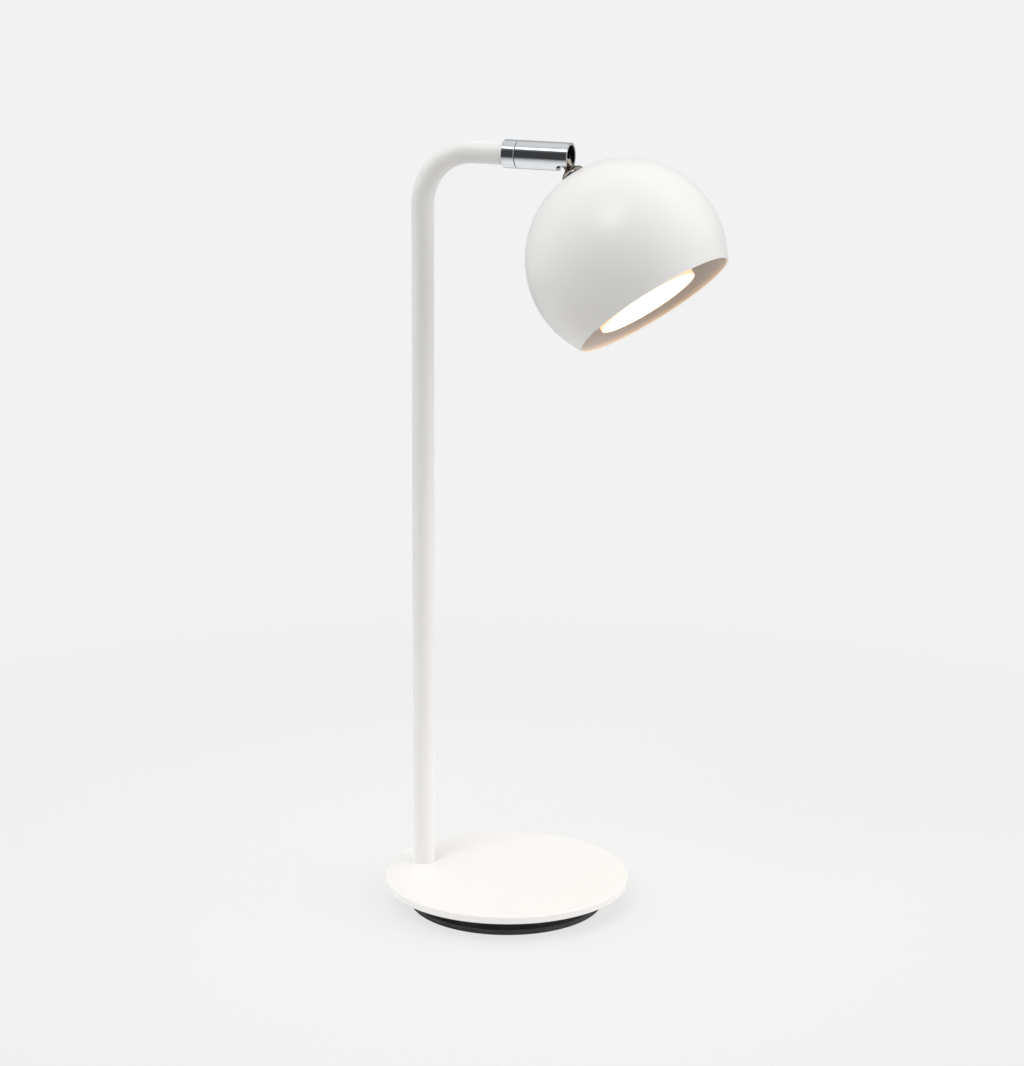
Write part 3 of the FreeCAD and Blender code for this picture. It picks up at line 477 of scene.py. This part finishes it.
# ---------------------------------------------------------------- the modelling bench
class Bench:
    """Blender's modelling operators, used one piece at a time."""

    @staticmethod
    def clear() -> None:
        """Leave edit mode and deselect everything."""
        if bpy.context.mode != "OBJECT":
            bpy.ops.object.mode_set(mode="OBJECT")
        bpy.ops.object.select_all(action="DESELECT")

    @staticmethod
    def pick(piece: bpy.types.Object) -> None:
        """Select one piece alone and make it the active one."""
        Bench.clear()
        piece.select_set(True)
        bpy.context.view_layer.objects.active = piece

    @staticmethod
    def added(name: str) -> bpy.types.Object:
        """Name the primitive just added, and open it in edit mode, selected all over."""
        piece = bpy.context.active_object
        piece.name = name
        piece.data.name = name
        bpy.ops.object.mode_set(mode="EDIT")
        bpy.ops.mesh.select_all(action="SELECT")
        return piece

    @staticmethod
    def select(piece: bpy.types.Object, test: Callable[[Vector], bool]) -> None:
        """Select the vertices, and what lies between them, whose place passes a test."""
        bpy.ops.mesh.select_mode(type="VERT")
        bpy.ops.mesh.select_all(action="DESELECT")
        bpy.ops.object.mode_set(mode="OBJECT")
        mesh = piece.data
        chosen = [test(vertex.co) for vertex in mesh.vertices]
        mesh.vertices.foreach_set("select", chosen)
        for parts in (mesh.edges, mesh.polygons):
            parts.foreach_set("select", [all(chosen[i] for i in part.vertices) for part in parts])
        bpy.ops.object.mode_set(mode="EDIT")

    @staticmethod
    def turn(name: str, stations: Sequence[Station], segments: int, caps: Caps) -> bpy.types.Object:
        """Draw a ring out along Z through the stations of a turned profile.

        Args:
            name: the piece's name.
            stations: the radius and height of each ring.
            segments: how many sides the rings have.
            caps: the ends that are closed. Without caps the profile meets itself.

        Returns:
            The piece, its axis on Z.
        """
        radius, height = stations[0]
        Bench.clear()
        bpy.ops.mesh.primitive_circle_add(vertices=segments, radius=radius, location=(0, 0, height))
        piece = Bench.added(name)
        if caps is not Caps.NONE:
            Bench.cap()
        for next_radius, next_height in stations[1:]:
            bpy.ops.mesh.extrude_edges_move(TRANSFORM_OT_translate={"value": (0, 0, next_height - height)})
            growth = next_radius / radius
            bpy.ops.transform.resize(value=(growth, growth, 1), center_override=(0, 0, next_height))
            radius, height = next_radius, next_height
        if caps is Caps.BOTH:
            Bench.cap()
        Bench.close()
        return piece

    @staticmethod
    def cap() -> None:
        """Close the selected ring with a fan of triangles, and leave its edge selected."""
        bpy.ops.mesh.edge_face_add()
        bpy.ops.mesh.poke()
        bpy.ops.mesh.region_to_loop()

    @staticmethod
    def close() -> None:
        """Merge the doubles, turn the normals outwards and leave edit mode."""
        bpy.ops.mesh.select_all(action="SELECT")
        bpy.ops.mesh.remove_doubles(threshold=2e-6)
        bpy.ops.mesh.normals_make_consistent(inside=False)
        bpy.ops.object.mode_set(mode="OBJECT")
        bpy.ops.object.transform_apply(location=True, rotation=True, scale=True)

    @staticmethod
    def apply(piece: bpy.types.Object, kind: str, **settings: Any) -> None:
        """Add a modifier and apply it.

        Args:
            piece: the piece.
            kind: the modifier's type.
            settings: its properties.
        """
        Bench.pick(piece)
        modifier = piece.modifiers.new(kind.title(), kind)
        for name, value in settings.items():
            setattr(modifier, name, value)
        bpy.ops.object.modifier_apply(modifier=modifier.name)

    @staticmethod
    def soften(piece: bpy.types.Object, width: float, segments: int = 3) -> None:
        """Round the piece's hard edges."""
        Bench.apply(piece, "BEVEL", width=width, segments=segments, limit_method="ANGLE",
                    angle_limit=math.radians(32))

    @staticmethod
    def cut(piece: bpy.types.Object, tool: bpy.types.Object) -> None:
        """Cut a tool out of the piece, and put the tool away."""
        Bench.apply(piece, "BOOLEAN", operation="DIFFERENCE", solver="EXACT", object=tool)
        bpy.data.objects.remove(tool)

    @staticmethod
    def lay(piece: bpy.types.Object, place: Matrix) -> None:
        """Move a piece made at the origin to its place, and keep the place in its mesh."""
        Bench.pick(piece)
        piece.matrix_world = place
        bpy.ops.object.transform_apply(location=True, rotation=True, scale=True)

    @staticmethod
    def shade(piece: bpy.types.Object, angle: float = 34.0) -> None:
        """Smooth the curved faces and let the broad flat ones lead the normals."""
        Bench.pick(piece)
        bpy.ops.object.shade_smooth_by_angle(angle=math.radians(angle))
        Bench.apply(piece, "WEIGHTED_NORMAL", keep_sharp=True)


def arc(first: Station, middle: Station, last: Station, steps: int) -> list[Station]:
    """Stations on the circle through three of them.

    Args:
        first: where the arc starts.
        middle: a station on its way.
        last: where it ends.
        steps: how many runs it has.

    Returns:
        The stations, both ends included.
    """
    a, b, c = (complex(*station) for station in (first, middle, last))
    ratio = (c - a) / (b - a)
    centre = (b - a) * (ratio - abs(ratio) ** 2) / (2j * ratio.imag) + a
    radius = abs(a - centre)
    start = math.atan2((a - centre).imag, (a - centre).real)
    sweep = math.remainder(math.atan2((c - centre).imag, (c - centre).real) - start, math.tau)
    turns = [start + sweep * step / steps for step in range(steps + 1)]
    return [(centre.real + radius * math.cos(turn), centre.imag + radius * math.sin(turn)) for turn in turns]


# ---------------------------------------------------------------- places in the frame
@dataclass(frozen=True)
class Layout:
    """Where the lamp's axes lie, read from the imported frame."""

    arm: Matrix
    barrel: Matrix
    shade: Matrix

    @classmethod
    def read(cls) -> "Layout":
        """Work the axes out from the joints and from pieces that share an axis.

        Returns:
            The layout. Each matrix takes a piece made along Z to its place.
        """
        joints = {joint["name"]: joint for joint in frame["joints"]}
        arm_start = Vector(joints["barrel_swivel"]["pos_m"])
        pivot = Vector(joints["shade_tilt"]["pos_m"])
        cross = Vector(joints["shade_tilt"]["axis"]).normalized()
        low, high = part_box("holder_tube")
        down_shade = ((low + high) / 2 - pivot).normalized()
        along_arm = Vector((1.0, 0.0, 0.0))
        return cls(
            arm=cls._axes(Vector((0.0, 1.0, 0.0)), along_arm, arm_start),
            barrel=cls._axes(cross, along_arm, arm_start),
            shade=cls._axes(cross, down_shade, pivot),
        )

    @staticmethod
    def _axes(across: Vector, along: Vector, origin: Vector) -> Matrix:
        """A placing matrix.

        Args:
            across: where the piece's Y axis points.
            along: where its Z axis points.
            origin: where its zero goes.

        Returns:
            The matrix.
        """
        side = across.cross(along).normalized()
        turned = Matrix((side, along.cross(side), along)).transposed().to_4x4()
        return Matrix.Translation(origin) @ turned


class Fitter:
    """Dresses pieces, puts them on their bodies and reports them."""

    @staticmethod
    def fit(piece: bpy.types.Object, body: Body, slot: Slot, *nodes: str,
            finish: Finish | None = None) -> None:
        """Hand over a finished piece.

        Args:
            piece: the piece, its place in its mesh.
            body: the body it rides on.
            slot: the record's slot that its finish belongs to.
            nodes: the CAD nodes it stands for.
            finish: its own form of the slot's finish, where it has one.
        """
        piece.data.materials.clear()
        piece.data.materials.append((finish or slot.value).material())
        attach(piece, body.value)
        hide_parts(*nodes)
        faces = len(piece.data.polygons)
        log.info("%s: %d faces, on %s, for %s", piece.name, faces, body.value, ", ".join(nodes))

    @staticmethod
    def dress(slot: Slot, *nodes: str, finish: Finish | None = None) -> None:
        """Give CAD nodes that stay their finish.

        Args:
            slot: the record's slot of these nodes.
            nodes: their names.
            finish: their own form of the slot's finish, where they have one.
        """
        material = (finish or slot.value).material()
        for name in nodes:
            node = frame["nodes"][name]
            if not node.material_slots:
                node.data.materials.append(material)
            for place in node.material_slots:
                place.material = material
            log.info("%s: CAD node in %s", name, material.name)


# ---------------------------------------------------------------- foot
@dataclass
class Foot:
    """The round plate, the ballast under it and the ring that the lamp stands on."""

    plate_radius: float = 90.0 * MM
    plate_low: float = 15.8 * MM
    plate_high: float = 21.2 * MM
    top_round: float = 0.9 * MM
    bottom_round: float = 0.5 * MM
    ring_radius: float = 71.4 * MM
    ring_width: float = 8.4 * MM
    ring_height: float = 4.0 * MM
    ring_round: float = 0.6 * MM

    def build(self) -> None:
        """Model the plate and the ring, and dress what is under them."""
        Fitter.fit(self.plate(), Body.STAND, Slot.WHITE_ENAMEL, "base_plate")
        Fitter.fit(self.ring(), Body.STAND, Slot.RUBBER_GREY, "foot_ring")
        Fitter.dress(Slot.BALLAST_BLACK, "ballast")
        Fitter.dress(Slot.RUBBER_GREY, "cord_grommet")
        Fitter.dress(Slot.ZINC_STEEL, "ballast_screws", "bottom_cover", "cover_screws", "terminal_screws",
                     "stem_insert", "stem_nipple", "stem_washer", "stem_nut")
        Fitter.dress(Slot.BLACK_NYLON, "cord_inlet", "terminal_block")
        Fitter.dress(Slot.BRASS_CONTACTS, "terminal_clamps")

    def plate(self) -> bpy.types.Object:
        """The white plate, its upper edge rounder than its lower one."""
        r, low, high = self.plate_radius, self.plate_low, self.plate_high
        lean = 1 - math.sqrt(0.5)
        bottom, top = self.bottom_round, self.top_round
        profile = [(0.5 * r, low)]
        profile += arc((r - bottom, low), (r - bottom * lean, low + bottom * lean), (r, low + bottom), 6)
        profile += arc((r, high - top), (r - top * lean, high - top * lean), (r - top, high), 8)
        profile += [(r - 3 * top, high), (0.8 * r, high), (0.4 * r, high)]
        piece = Bench.turn("foot_plate", profile, 256, Caps.BOTH)
        Bench.shade(piece)
        return piece

    def ring(self) -> bpy.types.Object:
        """The rubber ring, with soft lower edges."""
        outer, inner = self.ring_radius, self.ring_radius - self.ring_width
        soft, high = self.ring_round, self.ring_height
        lean = soft * (1 - math.sqrt(0.5))
        profile = arc((inner, soft), (inner + lean, lean), (inner + soft, 0.0), 5)
        profile += arc((outer - soft, 0.0), (outer - lean, lean), (outer, soft), 5)
        profile += [(outer, high - 0.2 * MM), (outer - 0.2 * MM, high), (inner, high), (inner, soft)]
        piece = Bench.turn("foot_band", profile, 192, Caps.NONE)
        Bench.shade(piece)
        return piece


# ---------------------------------------------------------------- stem
@dataclass
class Stem:
    """The tube that rises from the foot, bends once and runs out as the arm."""

    stem_x: float = -66.3 * MM
    radius: float = 8.0 * MM
    wall: float = 1.2 * MM
    foot_height: float = 21.2 * MM
    arm_height: float = 555.0 * MM
    bend_radius: float = 39.0 * MM
    end_x: float = -1.2 * MM
    sides: int = 96
    bend_steps: int = 48

    def build(self) -> None:
        """Model the tube, and dress what is inside it."""
        Fitter.fit(self.tube(), Body.STAND, Slot.WHITE_ENAMEL, "stem_tube")
        Fitter.dress(Slot.ZINC_STEEL, "arm_insert")
        Fitter.dress(Slot.LEAD_SHEATH, "stem_lead")

    def tube(self) -> bpy.types.Object:
        """One ring, drawn up, spun round the bend and drawn out along the arm."""
        bend_z = self.arm_height - self.bend_radius
        bend_x = self.stem_x + self.bend_radius
        Bench.clear()
        bpy.ops.mesh.primitive_circle_add(vertices=self.sides, radius=self.radius,
                                          location=(self.stem_x, 0, self.foot_height))
        piece = Bench.added("stem")
        rise = (bend_z - self.foot_height) / 12
        for _ in range(12):
            bpy.ops.mesh.extrude_edges_move(TRANSFORM_OT_translate={"value": (0, 0, rise)})
        bpy.ops.mesh.spin(steps=self.bend_steps, angle=-math.pi / 2, center=(bend_x, 0, bend_z),
                          axis=(0, 1, 0))
        bpy.ops.mesh.extrude_edges_move(TRANSFORM_OT_translate={"value": (self.end_x - bend_x, 0, 0)})
        Bench.close()
        Bench.apply(piece, "SOLIDIFY", thickness=self.wall, offset=-1)
        Bench.shade(piece)
        return piece


# ---------------------------------------------------------------- swivel
@dataclass
class Swivel:
    """The chrome collar on the arm, and the barrel that turns on it."""

    layout: Layout
    collar_start: float = -10.7 * MM
    collar_length: float = 10.0 * MM
    collar_overlap: float = 3.0 * MM
    radius: float = 10.0 * MM
    collar_edge: float = 0.6 * MM
    tube_socket: float = 8.05 * MM
    stud_hole: float = 5.05 * MM
    barrel_length: float = 38.5 * MM
    barrel_bore: float = 8.2 * MM
    barrel_web: float = 3.6 * MM
    slot_length: float = 8.9 * MM
    slot_width: float = 14.8 * MM
    slot_corner: float = 3.0 * MM
    screw_station: float = 22.1 * MM
    screw_radius: float = 1.5 * MM
    sides: int = 160

    def build(self) -> None:
        """Model the two chrome parts, and dress the joint's inside."""
        Fitter.fit(self.collar(), Body.STAND, Slot.POLISHED_CHROME, "collar")
        # the barrel's chrome has painted shade inside its bore
        bored = Chrome("turned_chrome_with_painted_bore_shade", origin=tuple(self.layout.barrel.translation),
                       bore=self.barrel_bore)
        Fitter.fit(self.barrel(), Body.BARREL, Slot.POLISHED_CHROME, "barrel", finish=bored)
        Fitter.dress(Slot.BLACK_NYLON, "swivel_washer", "friction_washers")
        Fitter.dress(Slot.ZINC_STEEL, "swivel_stud", "stop_pin", "wave_washer", "swivel_nut", "cradle_screw",
                     "trunnion_pins")
        # the cradle inside the barrel gets a near-black tone as painted shade
        cradle_painted_shade = Plated("cradle_painted_shade_black", (0.05, 0.048, 0.046), (0.03, 0.03, 0.03), 0.45)
        Fitter.dress(Slot.ZINC_STEEL, "cradle", finish=cradle_painted_shade)

    def collar(self) -> bpy.types.Object:
        """A ring that takes the arm's end in its socket."""
        r, e, end = self.radius, self.collar_edge, self.collar_length
        profile = [(self.tube_socket, 0.0), (r - e, 0.0), (r, e), (r, end - e / 2), (r - e / 2, end),
                   (self.stud_hole, end), (self.stud_hole, self.collar_overlap),
                   (self.tube_socket, self.collar_overlap), (self.tube_socket, 0.0)]
        piece = Bench.turn("arm_collar", profile, self.sides, Caps.NONE)
        Bench.soften(piece, 0.18 * MM)
        Bench.lay(piece, self.layout.arm @ Matrix.Translation((0, 0, self.collar_start)))
        Bench.shade(piece)
        return piece

    def barrel(self) -> bpy.types.Object:
        """A bored cylinder, slotted underneath where the shade's neck comes out."""
        r, bore, end = self.radius, self.barrel_bore, self.barrel_length
        profile = [(self.stud_hole, 0.0), (r, 0.0), (r, end), (bore, end), (bore, self.barrel_web),
                   (self.stud_hole, self.barrel_web), (self.stud_hole, 0.0)]
        piece = Bench.turn("swivel_barrel_shell", profile, self.sides, Caps.NONE)
        Bench.cut(piece, self.slot_tool())
        Bench.cut(piece, self.screw_tool())
        Bench.soften(piece, 0.22 * MM)
        Bench.lay(piece, self.layout.barrel)
        Bench.shade(piece)
        return piece

    def slot_tool(self) -> bpy.types.Object:
        """The block that cuts the slot, round at its closed end."""
        reach = self.radius + 1.0 * MM
        length = self.slot_length + 2.0 * MM
        start = self.barrel_length - self.slot_length
        Bench.clear()
        bpy.ops.mesh.primitive_cube_add(size=1.0, location=(reach / 2, 0, start + length / 2))
        tool = Bench.added("slot_tool")
        centre = (reach / 2, 0, start + length / 2)
        bpy.ops.transform.resize(value=(reach, self.slot_width, length), center_override=centre)
        Bench.close()
        bpy.ops.object.mode_set(mode="EDIT")
        Bench.select(tool, lambda place: place.z < start + 1e-6)
        bpy.ops.mesh.select_mode(type="EDGE")
        bpy.ops.object.mode_set(mode="OBJECT")
        for edge in tool.data.edges:
            ends = [tool.data.vertices[index].co for index in edge.vertices]
            edge.select = all(end.z < start + 1e-6 for end in ends) and abs(ends[0].y - ends[1].y) < 1e-6
        bpy.ops.object.mode_set(mode="EDIT")
        bpy.ops.mesh.bevel(offset=self.slot_corner, segments=8, affect="EDGES")
        Bench.close()
        return tool

    def screw_tool(self) -> bpy.types.Object:
        """The drill for the grub screw under the barrel."""
        Bench.clear()
        bpy.ops.mesh.primitive_cylinder_add(vertices=32, radius=self.screw_radius, depth=self.radius,
                                            location=(self.radius, 0, self.screw_station),
                                            rotation=(0, math.pi / 2, 0))
        tool = Bench.added("screw_tool")
        Bench.close()
        return tool


# ---------------------------------------------------------------- shade
@dataclass
class Shade:
    """The white dome, the washer that clamps it, and the fittings inside."""

    layout: Layout
    radius: float = 70.0 * MM
    wall: float = 1.0 * MM
    centre: float = 85.3 * MM
    land: float = 15.88 * MM
    land_hole: float = 5.05 * MM
    mouth: float = 123.2 * MM
    rim_straight: float = 9.0 * MM
    gasket: float = 14.88 * MM
    dome_radius: float = 8.4 * MM
    dome_shoulder: Station = (7.3 * MM, 12.38 * MM)
    dome_top: Station = (4.7 * MM, 10.78 * MM)
    dome_side: float = 0.6 * MM
    dome_wall: float = 0.8 * MM
    meridians: int = 192
    rings: int = 120

    def build(self) -> None:
        """Model the shell and the washer, and dress the fittings."""
        along = tuple(self.layout.shade.to_3x3().col[2])
        # a darker, browner metal tone for the washer and knuckle
        chrome = Chrome("dark_brown_turned_metal_on_neck", along, (0.34, 0.30, 0.265), 0.16)
        Fitter.fit(self.shell(), Body.HEAD, Slot.WHITE_ENAMEL, "shade_shell")
        Fitter.fit(self.dome(), Body.HEAD, Slot.POLISHED_CHROME, "dome_washer", finish=chrome)
        Fitter.dress(Slot.POLISHED_CHROME, "knuckle", finish=chrome)
        Fitter.dress(Slot.RUBBER_GREY, "shade_gasket")
        Fitter.dress(Slot.ZINC_STEEL, "inner_washer", "shade_locknut", "coupling_sleeve", "holder_tube",
                     "bridge_nuts", "holder_bridge", "holder_screws")
        Fitter.dress(Slot.LEAD_SHEATH, "shade_lead")

    def shell(self) -> bpy.types.Object:
        """A sphere opened at its land and mouth, drawn straight to the rim, and given its wall."""
        lead = math.atan2(self.rim_straight, self.radius)
        slant = math.hypot(self.radius, self.rim_straight)
        tangent = math.acos(-(self.mouth - self.centre) / slant) - lead
        start_z = self.centre - self.radius * math.cos(tangent)
        start_r = self.radius * math.sin(tangent)
        rim_r = start_r + self.rim_straight * math.cos(tangent)
        Bench.clear()
        bpy.ops.mesh.primitive_uv_sphere_add(segments=self.meridians, ring_count=self.rings,
                                             radius=self.radius, location=(0, 0, self.centre))
        piece = Bench.added("shade_dome")
        bpy.ops.mesh.bisect(plane_co=(0, 0, self.land), plane_no=(0, 0, 1), clear_inner=True)
        land_r = math.sqrt(self.radius ** 2 - (self.centre - self.land) ** 2)
        self.draw(self.land, self.land, land_r, self.land_hole)
        bpy.ops.mesh.select_all(action="SELECT")
        bpy.ops.mesh.bisect(plane_co=(0, 0, start_z), plane_no=(0, 0, 1), clear_outer=True)
        self.draw(start_z, self.mouth, start_r, rim_r)
        Bench.close()
        Bench.apply(piece, "SOLIDIFY", thickness=self.wall, offset=-1, use_even_offset=True)
        Bench.soften(piece, 0.25 * MM)
        Bench.lay(piece, self.layout.shade)
        Bench.shade(piece)
        return piece

    @staticmethod
    def draw(low: float, high: float, first: float, last: float) -> None:
        """Draw the selected ring from one height and radius to another."""
        bpy.ops.mesh.extrude_edges_move(TRANSFORM_OT_translate={"value": (0, 0, high - low)})
        growth = last / first
        bpy.ops.transform.resize(value=(growth, growth, 1), center_override=(0, 0, high))

    def dome(self) -> bpy.types.Object:
        """The crowned washer on top of the shade, hollow underneath."""
        r, w = self.dome_radius, self.dome_wall
        slant = w * math.sqrt(0.5)
        side = self.gasket - self.dome_side
        shoulder_r, shoulder_z = self.dome_shoulder
        hole, top = self.dome_top
        profile = [(r - w, self.gasket), (r, self.gasket)]
        profile += arc((r, side), (shoulder_r, shoulder_z), (hole, top), 20)
        profile += arc((hole, top + w), (shoulder_r - slant, shoulder_z + slant), (r - w, side), 12)
        profile += [(r - w, self.gasket)]
        piece = Bench.turn("dome_cap", profile, 160, Caps.NONE)
        Bench.soften(piece, 0.12 * MM)
        Bench.lay(piece, self.layout.shade)
        Bench.shade(piece)
        return piece


# ---------------------------------------------------------------- lamp in the mouth
@dataclass
class FlatLamp:
    """The round lamp in its holder: a tapered back, a straight rim and an opal face."""

    layout: Layout
    offset: float = 3.0 * MM
    radius: float = 37.5 * MM
    back_radius: float = 32.0 * MM
    back: float = 101.8 * MM
    face: float = 119.8 * MM
    rim_drop: float = 0.4 * MM
    side_height: float = 11.0 * MM
    flank_bow: float = 1.1 * MM
    wall: float = 0.9 * MM
    back_wall: float = 1.5 * MM
    diffuser_thickness: float = 2.2 * MM
    diffuser_crown: float = 0.5 * MM
    diffuser_clearance: float = 0.05 * MM

    def build(self) -> None:
        """Model the housing and the opal face, and dress the holder."""
        place = self.layout.shade @ Matrix.Translation((self.offset, 0, 0))
        centre = tuple(place @ Vector((0, 0, self.face)))
        opal = replace(Slot.OPAL_DIFFUSER.value, centre=centre, radius=self.radius - self.wall)
        along = place.to_3x3().col[2]
        back = along.dot(place @ Vector((0, 0, self.back)))
        # the housing's flank gets a painted glow, strongest near the lamp's face
        painted_glow_finish = replace(Slot.LAMP_HOUSING.value, axis=tuple(along), back=back, depth=self.face - self.back)
        Fitter.fit(self.housing(place), Body.HEAD, Slot.LAMP_HOUSING, "lamp_body", finish=painted_glow_finish)
        Fitter.fit(self.diffuser(place), Body.HEAD, Slot.OPAL_DIFFUSER, "lamp_diffuser", finish=opal)
        Fitter.dress(Slot.LAMPHOLDER_WHITE, "lampholder")
        Fitter.dress(Slot.BRASS_CONTACTS, "holder_contacts", "lamp_pins")
        Fitter.dress(Slot.BOARD_ALUMINIUM, "light_board")

    def housing(self, place: Matrix) -> bpy.types.Object:
        """The cup of the lamp, with its bowed flank."""
        r, w, back = self.radius, self.wall, self.back
        floor = back + self.back_wall
        rim = self.face - self.rim_drop
        side = rim - self.side_height
        profile = self.bowed((self.back_radius, back), (r, side), self.flank_bow)
        profile += [(r, rim), (r - w, rim)]
        profile += self.bowed((r - w, side), (self.back_radius - w, floor), -self.flank_bow)
        piece = Bench.turn("lamp_cup", profile, 160, Caps.BOTH)
        Bench.soften(piece, 0.25 * MM)
        Bench.lay(piece, place)
        Bench.shade(piece)
        return piece

    @staticmethod
    def bowed(first: Station, last: Station, rise: float) -> list[Station]:
        """A run between two stations that swells to the right of its way.

        Args:
            first: where it starts.
            last: where it ends.
            rise: how far its middle stands out.

        Returns:
            The stations.
        """
        dr, dz = last[0] - first[0], last[1] - first[1]
        length = math.hypot(dr, dz)
        half_r, half_z = (first[0] + last[0]) / 2, (first[1] + last[1]) / 2
        middle = (half_r + rise * dz / length, half_z - rise * dr / length)
        return arc(first, middle, last, 8)

    def diffuser(self, place: Matrix) -> bpy.types.Object:
        """The opal disc, slightly crowned."""
        r = self.radius - self.wall - self.diffuser_clearance
        low = self.face - self.diffuser_thickness
        crown = self.diffuser_crown
        heights = [(0.98, 0.04), (0.9, 0.19), (0.75, 0.44), (0.5, 0.75), (0.25, 0.94), (0.08, 0.99)]
        profile = [(0.5 * r, low), (r, low), (r, self.face - crown)]
        profile += [(share * r, self.face - crown + rise * crown) for share, rise in heights]
        piece = Bench.turn("opal_face", profile, 160, Caps.BOTH)
        Bench.soften(piece, 0.2 * MM)
        Bench.lay(piece, place)
        Bench.shade(piece)
        return piece


# ---------------------------------------------------------------- studio
@dataclass(frozen=True)
class SoftLight:
    """A soft light of the studio, as the lamp sees it: a round patch with a wide soft edge."""

    azimuth: float
    elevation: float
    radius: float
    edge: float
    strength: float

    def glow(self, graph: Graph, direction: Wire) -> Wire:
        """Its light from each direction.

        Args:
            graph: the world's graph.
            direction: the direction looked in.

        Returns:
            The strength, 0 outside its edge.
        """
        nearness = graph.along(tuple(toward(self.azimuth, self.elevation)), direction)
        outer = math.cos(math.radians(self.radius + self.edge))
        return graph.smooth(nearness, outer, math.cos(math.radians(self.radius))) * self.strength


def toward(azimuth: float, elevation: float) -> Vector:
    """The direction to a place round the lamp.

    Args:
        azimuth: degrees round from -Y towards +X.
        elevation: degrees above the floor.

    Returns:
        The unit vector.
    """
    turn, lift = math.radians(azimuth), math.radians(elevation)
    return Vector((math.sin(turn) * math.cos(lift), -math.cos(turn) * math.cos(lift), math.sin(lift)))


@dataclass
class Studio:
    """Pale floor, soft lights round a dark room, and the camera."""

    azimuth: float = 20.896
    elevation: float = 14.445
    roll: float = 0.340
    focal_pixels: float = 3050.58
    image_height: float = 1066.0
    camera_place: Point = (0.76230, -1.98915, 0.83011)
    floor_radius: float = 1.7
    floor_drop: float = 0.1 * MM
    backdrop: float = 0.887
    room: float = 0.17
    reflected_room: float = 0.05
    back: SoftLight = SoftLight(203.0, 18.5, 57.0, 63.0, 0.385)
    ceiling: SoftLight = SoftLight(257.0, 83.0, 25.0, 34.0, 0.30)
    left: SoftLight = SoftLight(-74.0, 12.0, 12.6, 35.7, 0.78)
    right: SoftLight = SoftLight(96.3, 18.0, 14.0, 45.7, 1.15)
    overhead: SoftLight = SoftLight(-11.3, 56.5, 9.0, 8.5, 5.2)

    def build(self) -> None:
        """Set up floor, light and camera."""
        self.floor()
        self.world()
        self.camera()

    def floor(self) -> None:
        """A wide disc under the lamp, which isn't part of it."""
        Bench.clear()
        bpy.ops.mesh.primitive_circle_add(vertices=128, radius=self.floor_radius,
                                          location=(0, 0, -self.floor_drop))
        floor = Bench.added("studio_floor")
        Bench.cap()
        Bench.close()
        floor.data.materials.append(Paper("studio_paper", backdrop=self.backdrop).material())

    def world(self) -> None:
        """Soft lights in a dim room. The camera sees the pale backdrop instead."""
        world = bpy.data.worlds.new("studio_world")
        world.use_nodes = True
        bpy.context.scene.world = world
        graph = Graph(world.node_tree)
        direction = graph.node("ShaderNodeTexCoord", output="Generated")
        camera_ray = graph.node("ShaderNodeLightPath", output="Is Camera Ray")
        glossy_ray = graph.node("ShaderNodeLightPath", output="Is Glossy Ray")
        light = glossy_ray * (self.reflected_room - self.room) + self.room
        for lamp in (self.back, self.ceiling, self.left, self.right, self.overhead):
            light = light + lamp.glow(graph, direction)
        strength = light * (1.0 - camera_ray) + camera_ray * self.backdrop
        shader = graph.node("ShaderNodeBackground", sockets={"Color": (1, 1, 1, 1), "Strength": strength})
        graph.node("ShaderNodeOutputWorld", sockets={"Surface": shader})

    def camera(self) -> None:
        """The camera at the photograph's place and angle."""
        roll = math.radians(self.roll)
        back = toward(self.azimuth, self.elevation)
        right = toward(self.azimuth + 90.0, 0.0)
        up = back.cross(right)
        turned_right = right * math.cos(roll) + up * math.sin(roll)
        turned_up = up * math.cos(roll) - right * math.sin(roll)
        data = bpy.data.cameras.new("photo_camera")
        data.lens = self.focal_pixels * data.sensor_width / self.image_height
        camera = bpy.data.objects.new("photo_camera", data)
        bpy.context.scene.collection.objects.link(camera)
        axes = Matrix((turned_right, turned_up, back)).transposed().to_4x4()
        camera.matrix_world = Matrix.Translation(self.camera_place) @ axes
        bpy.context.scene.camera = camera


def main() -> None:
    """Build the lamp's looks, then the studio round it."""
    logging.basicConfig(level=logging.INFO, format="%(name)s: %(message)s")
    bpy.context.scene.view_settings.view_transform = "Standard"
    layout = Layout.read()
    for assembly in (Foot(), Stem(), Swivel(layout), Shade(layout), FlatLamp(layout), Studio()):
        assembly.build()
        log.info("%s is ready", type(assembly).__name__)
    Bench.clear()


if __name__ == "__main__":
    main()
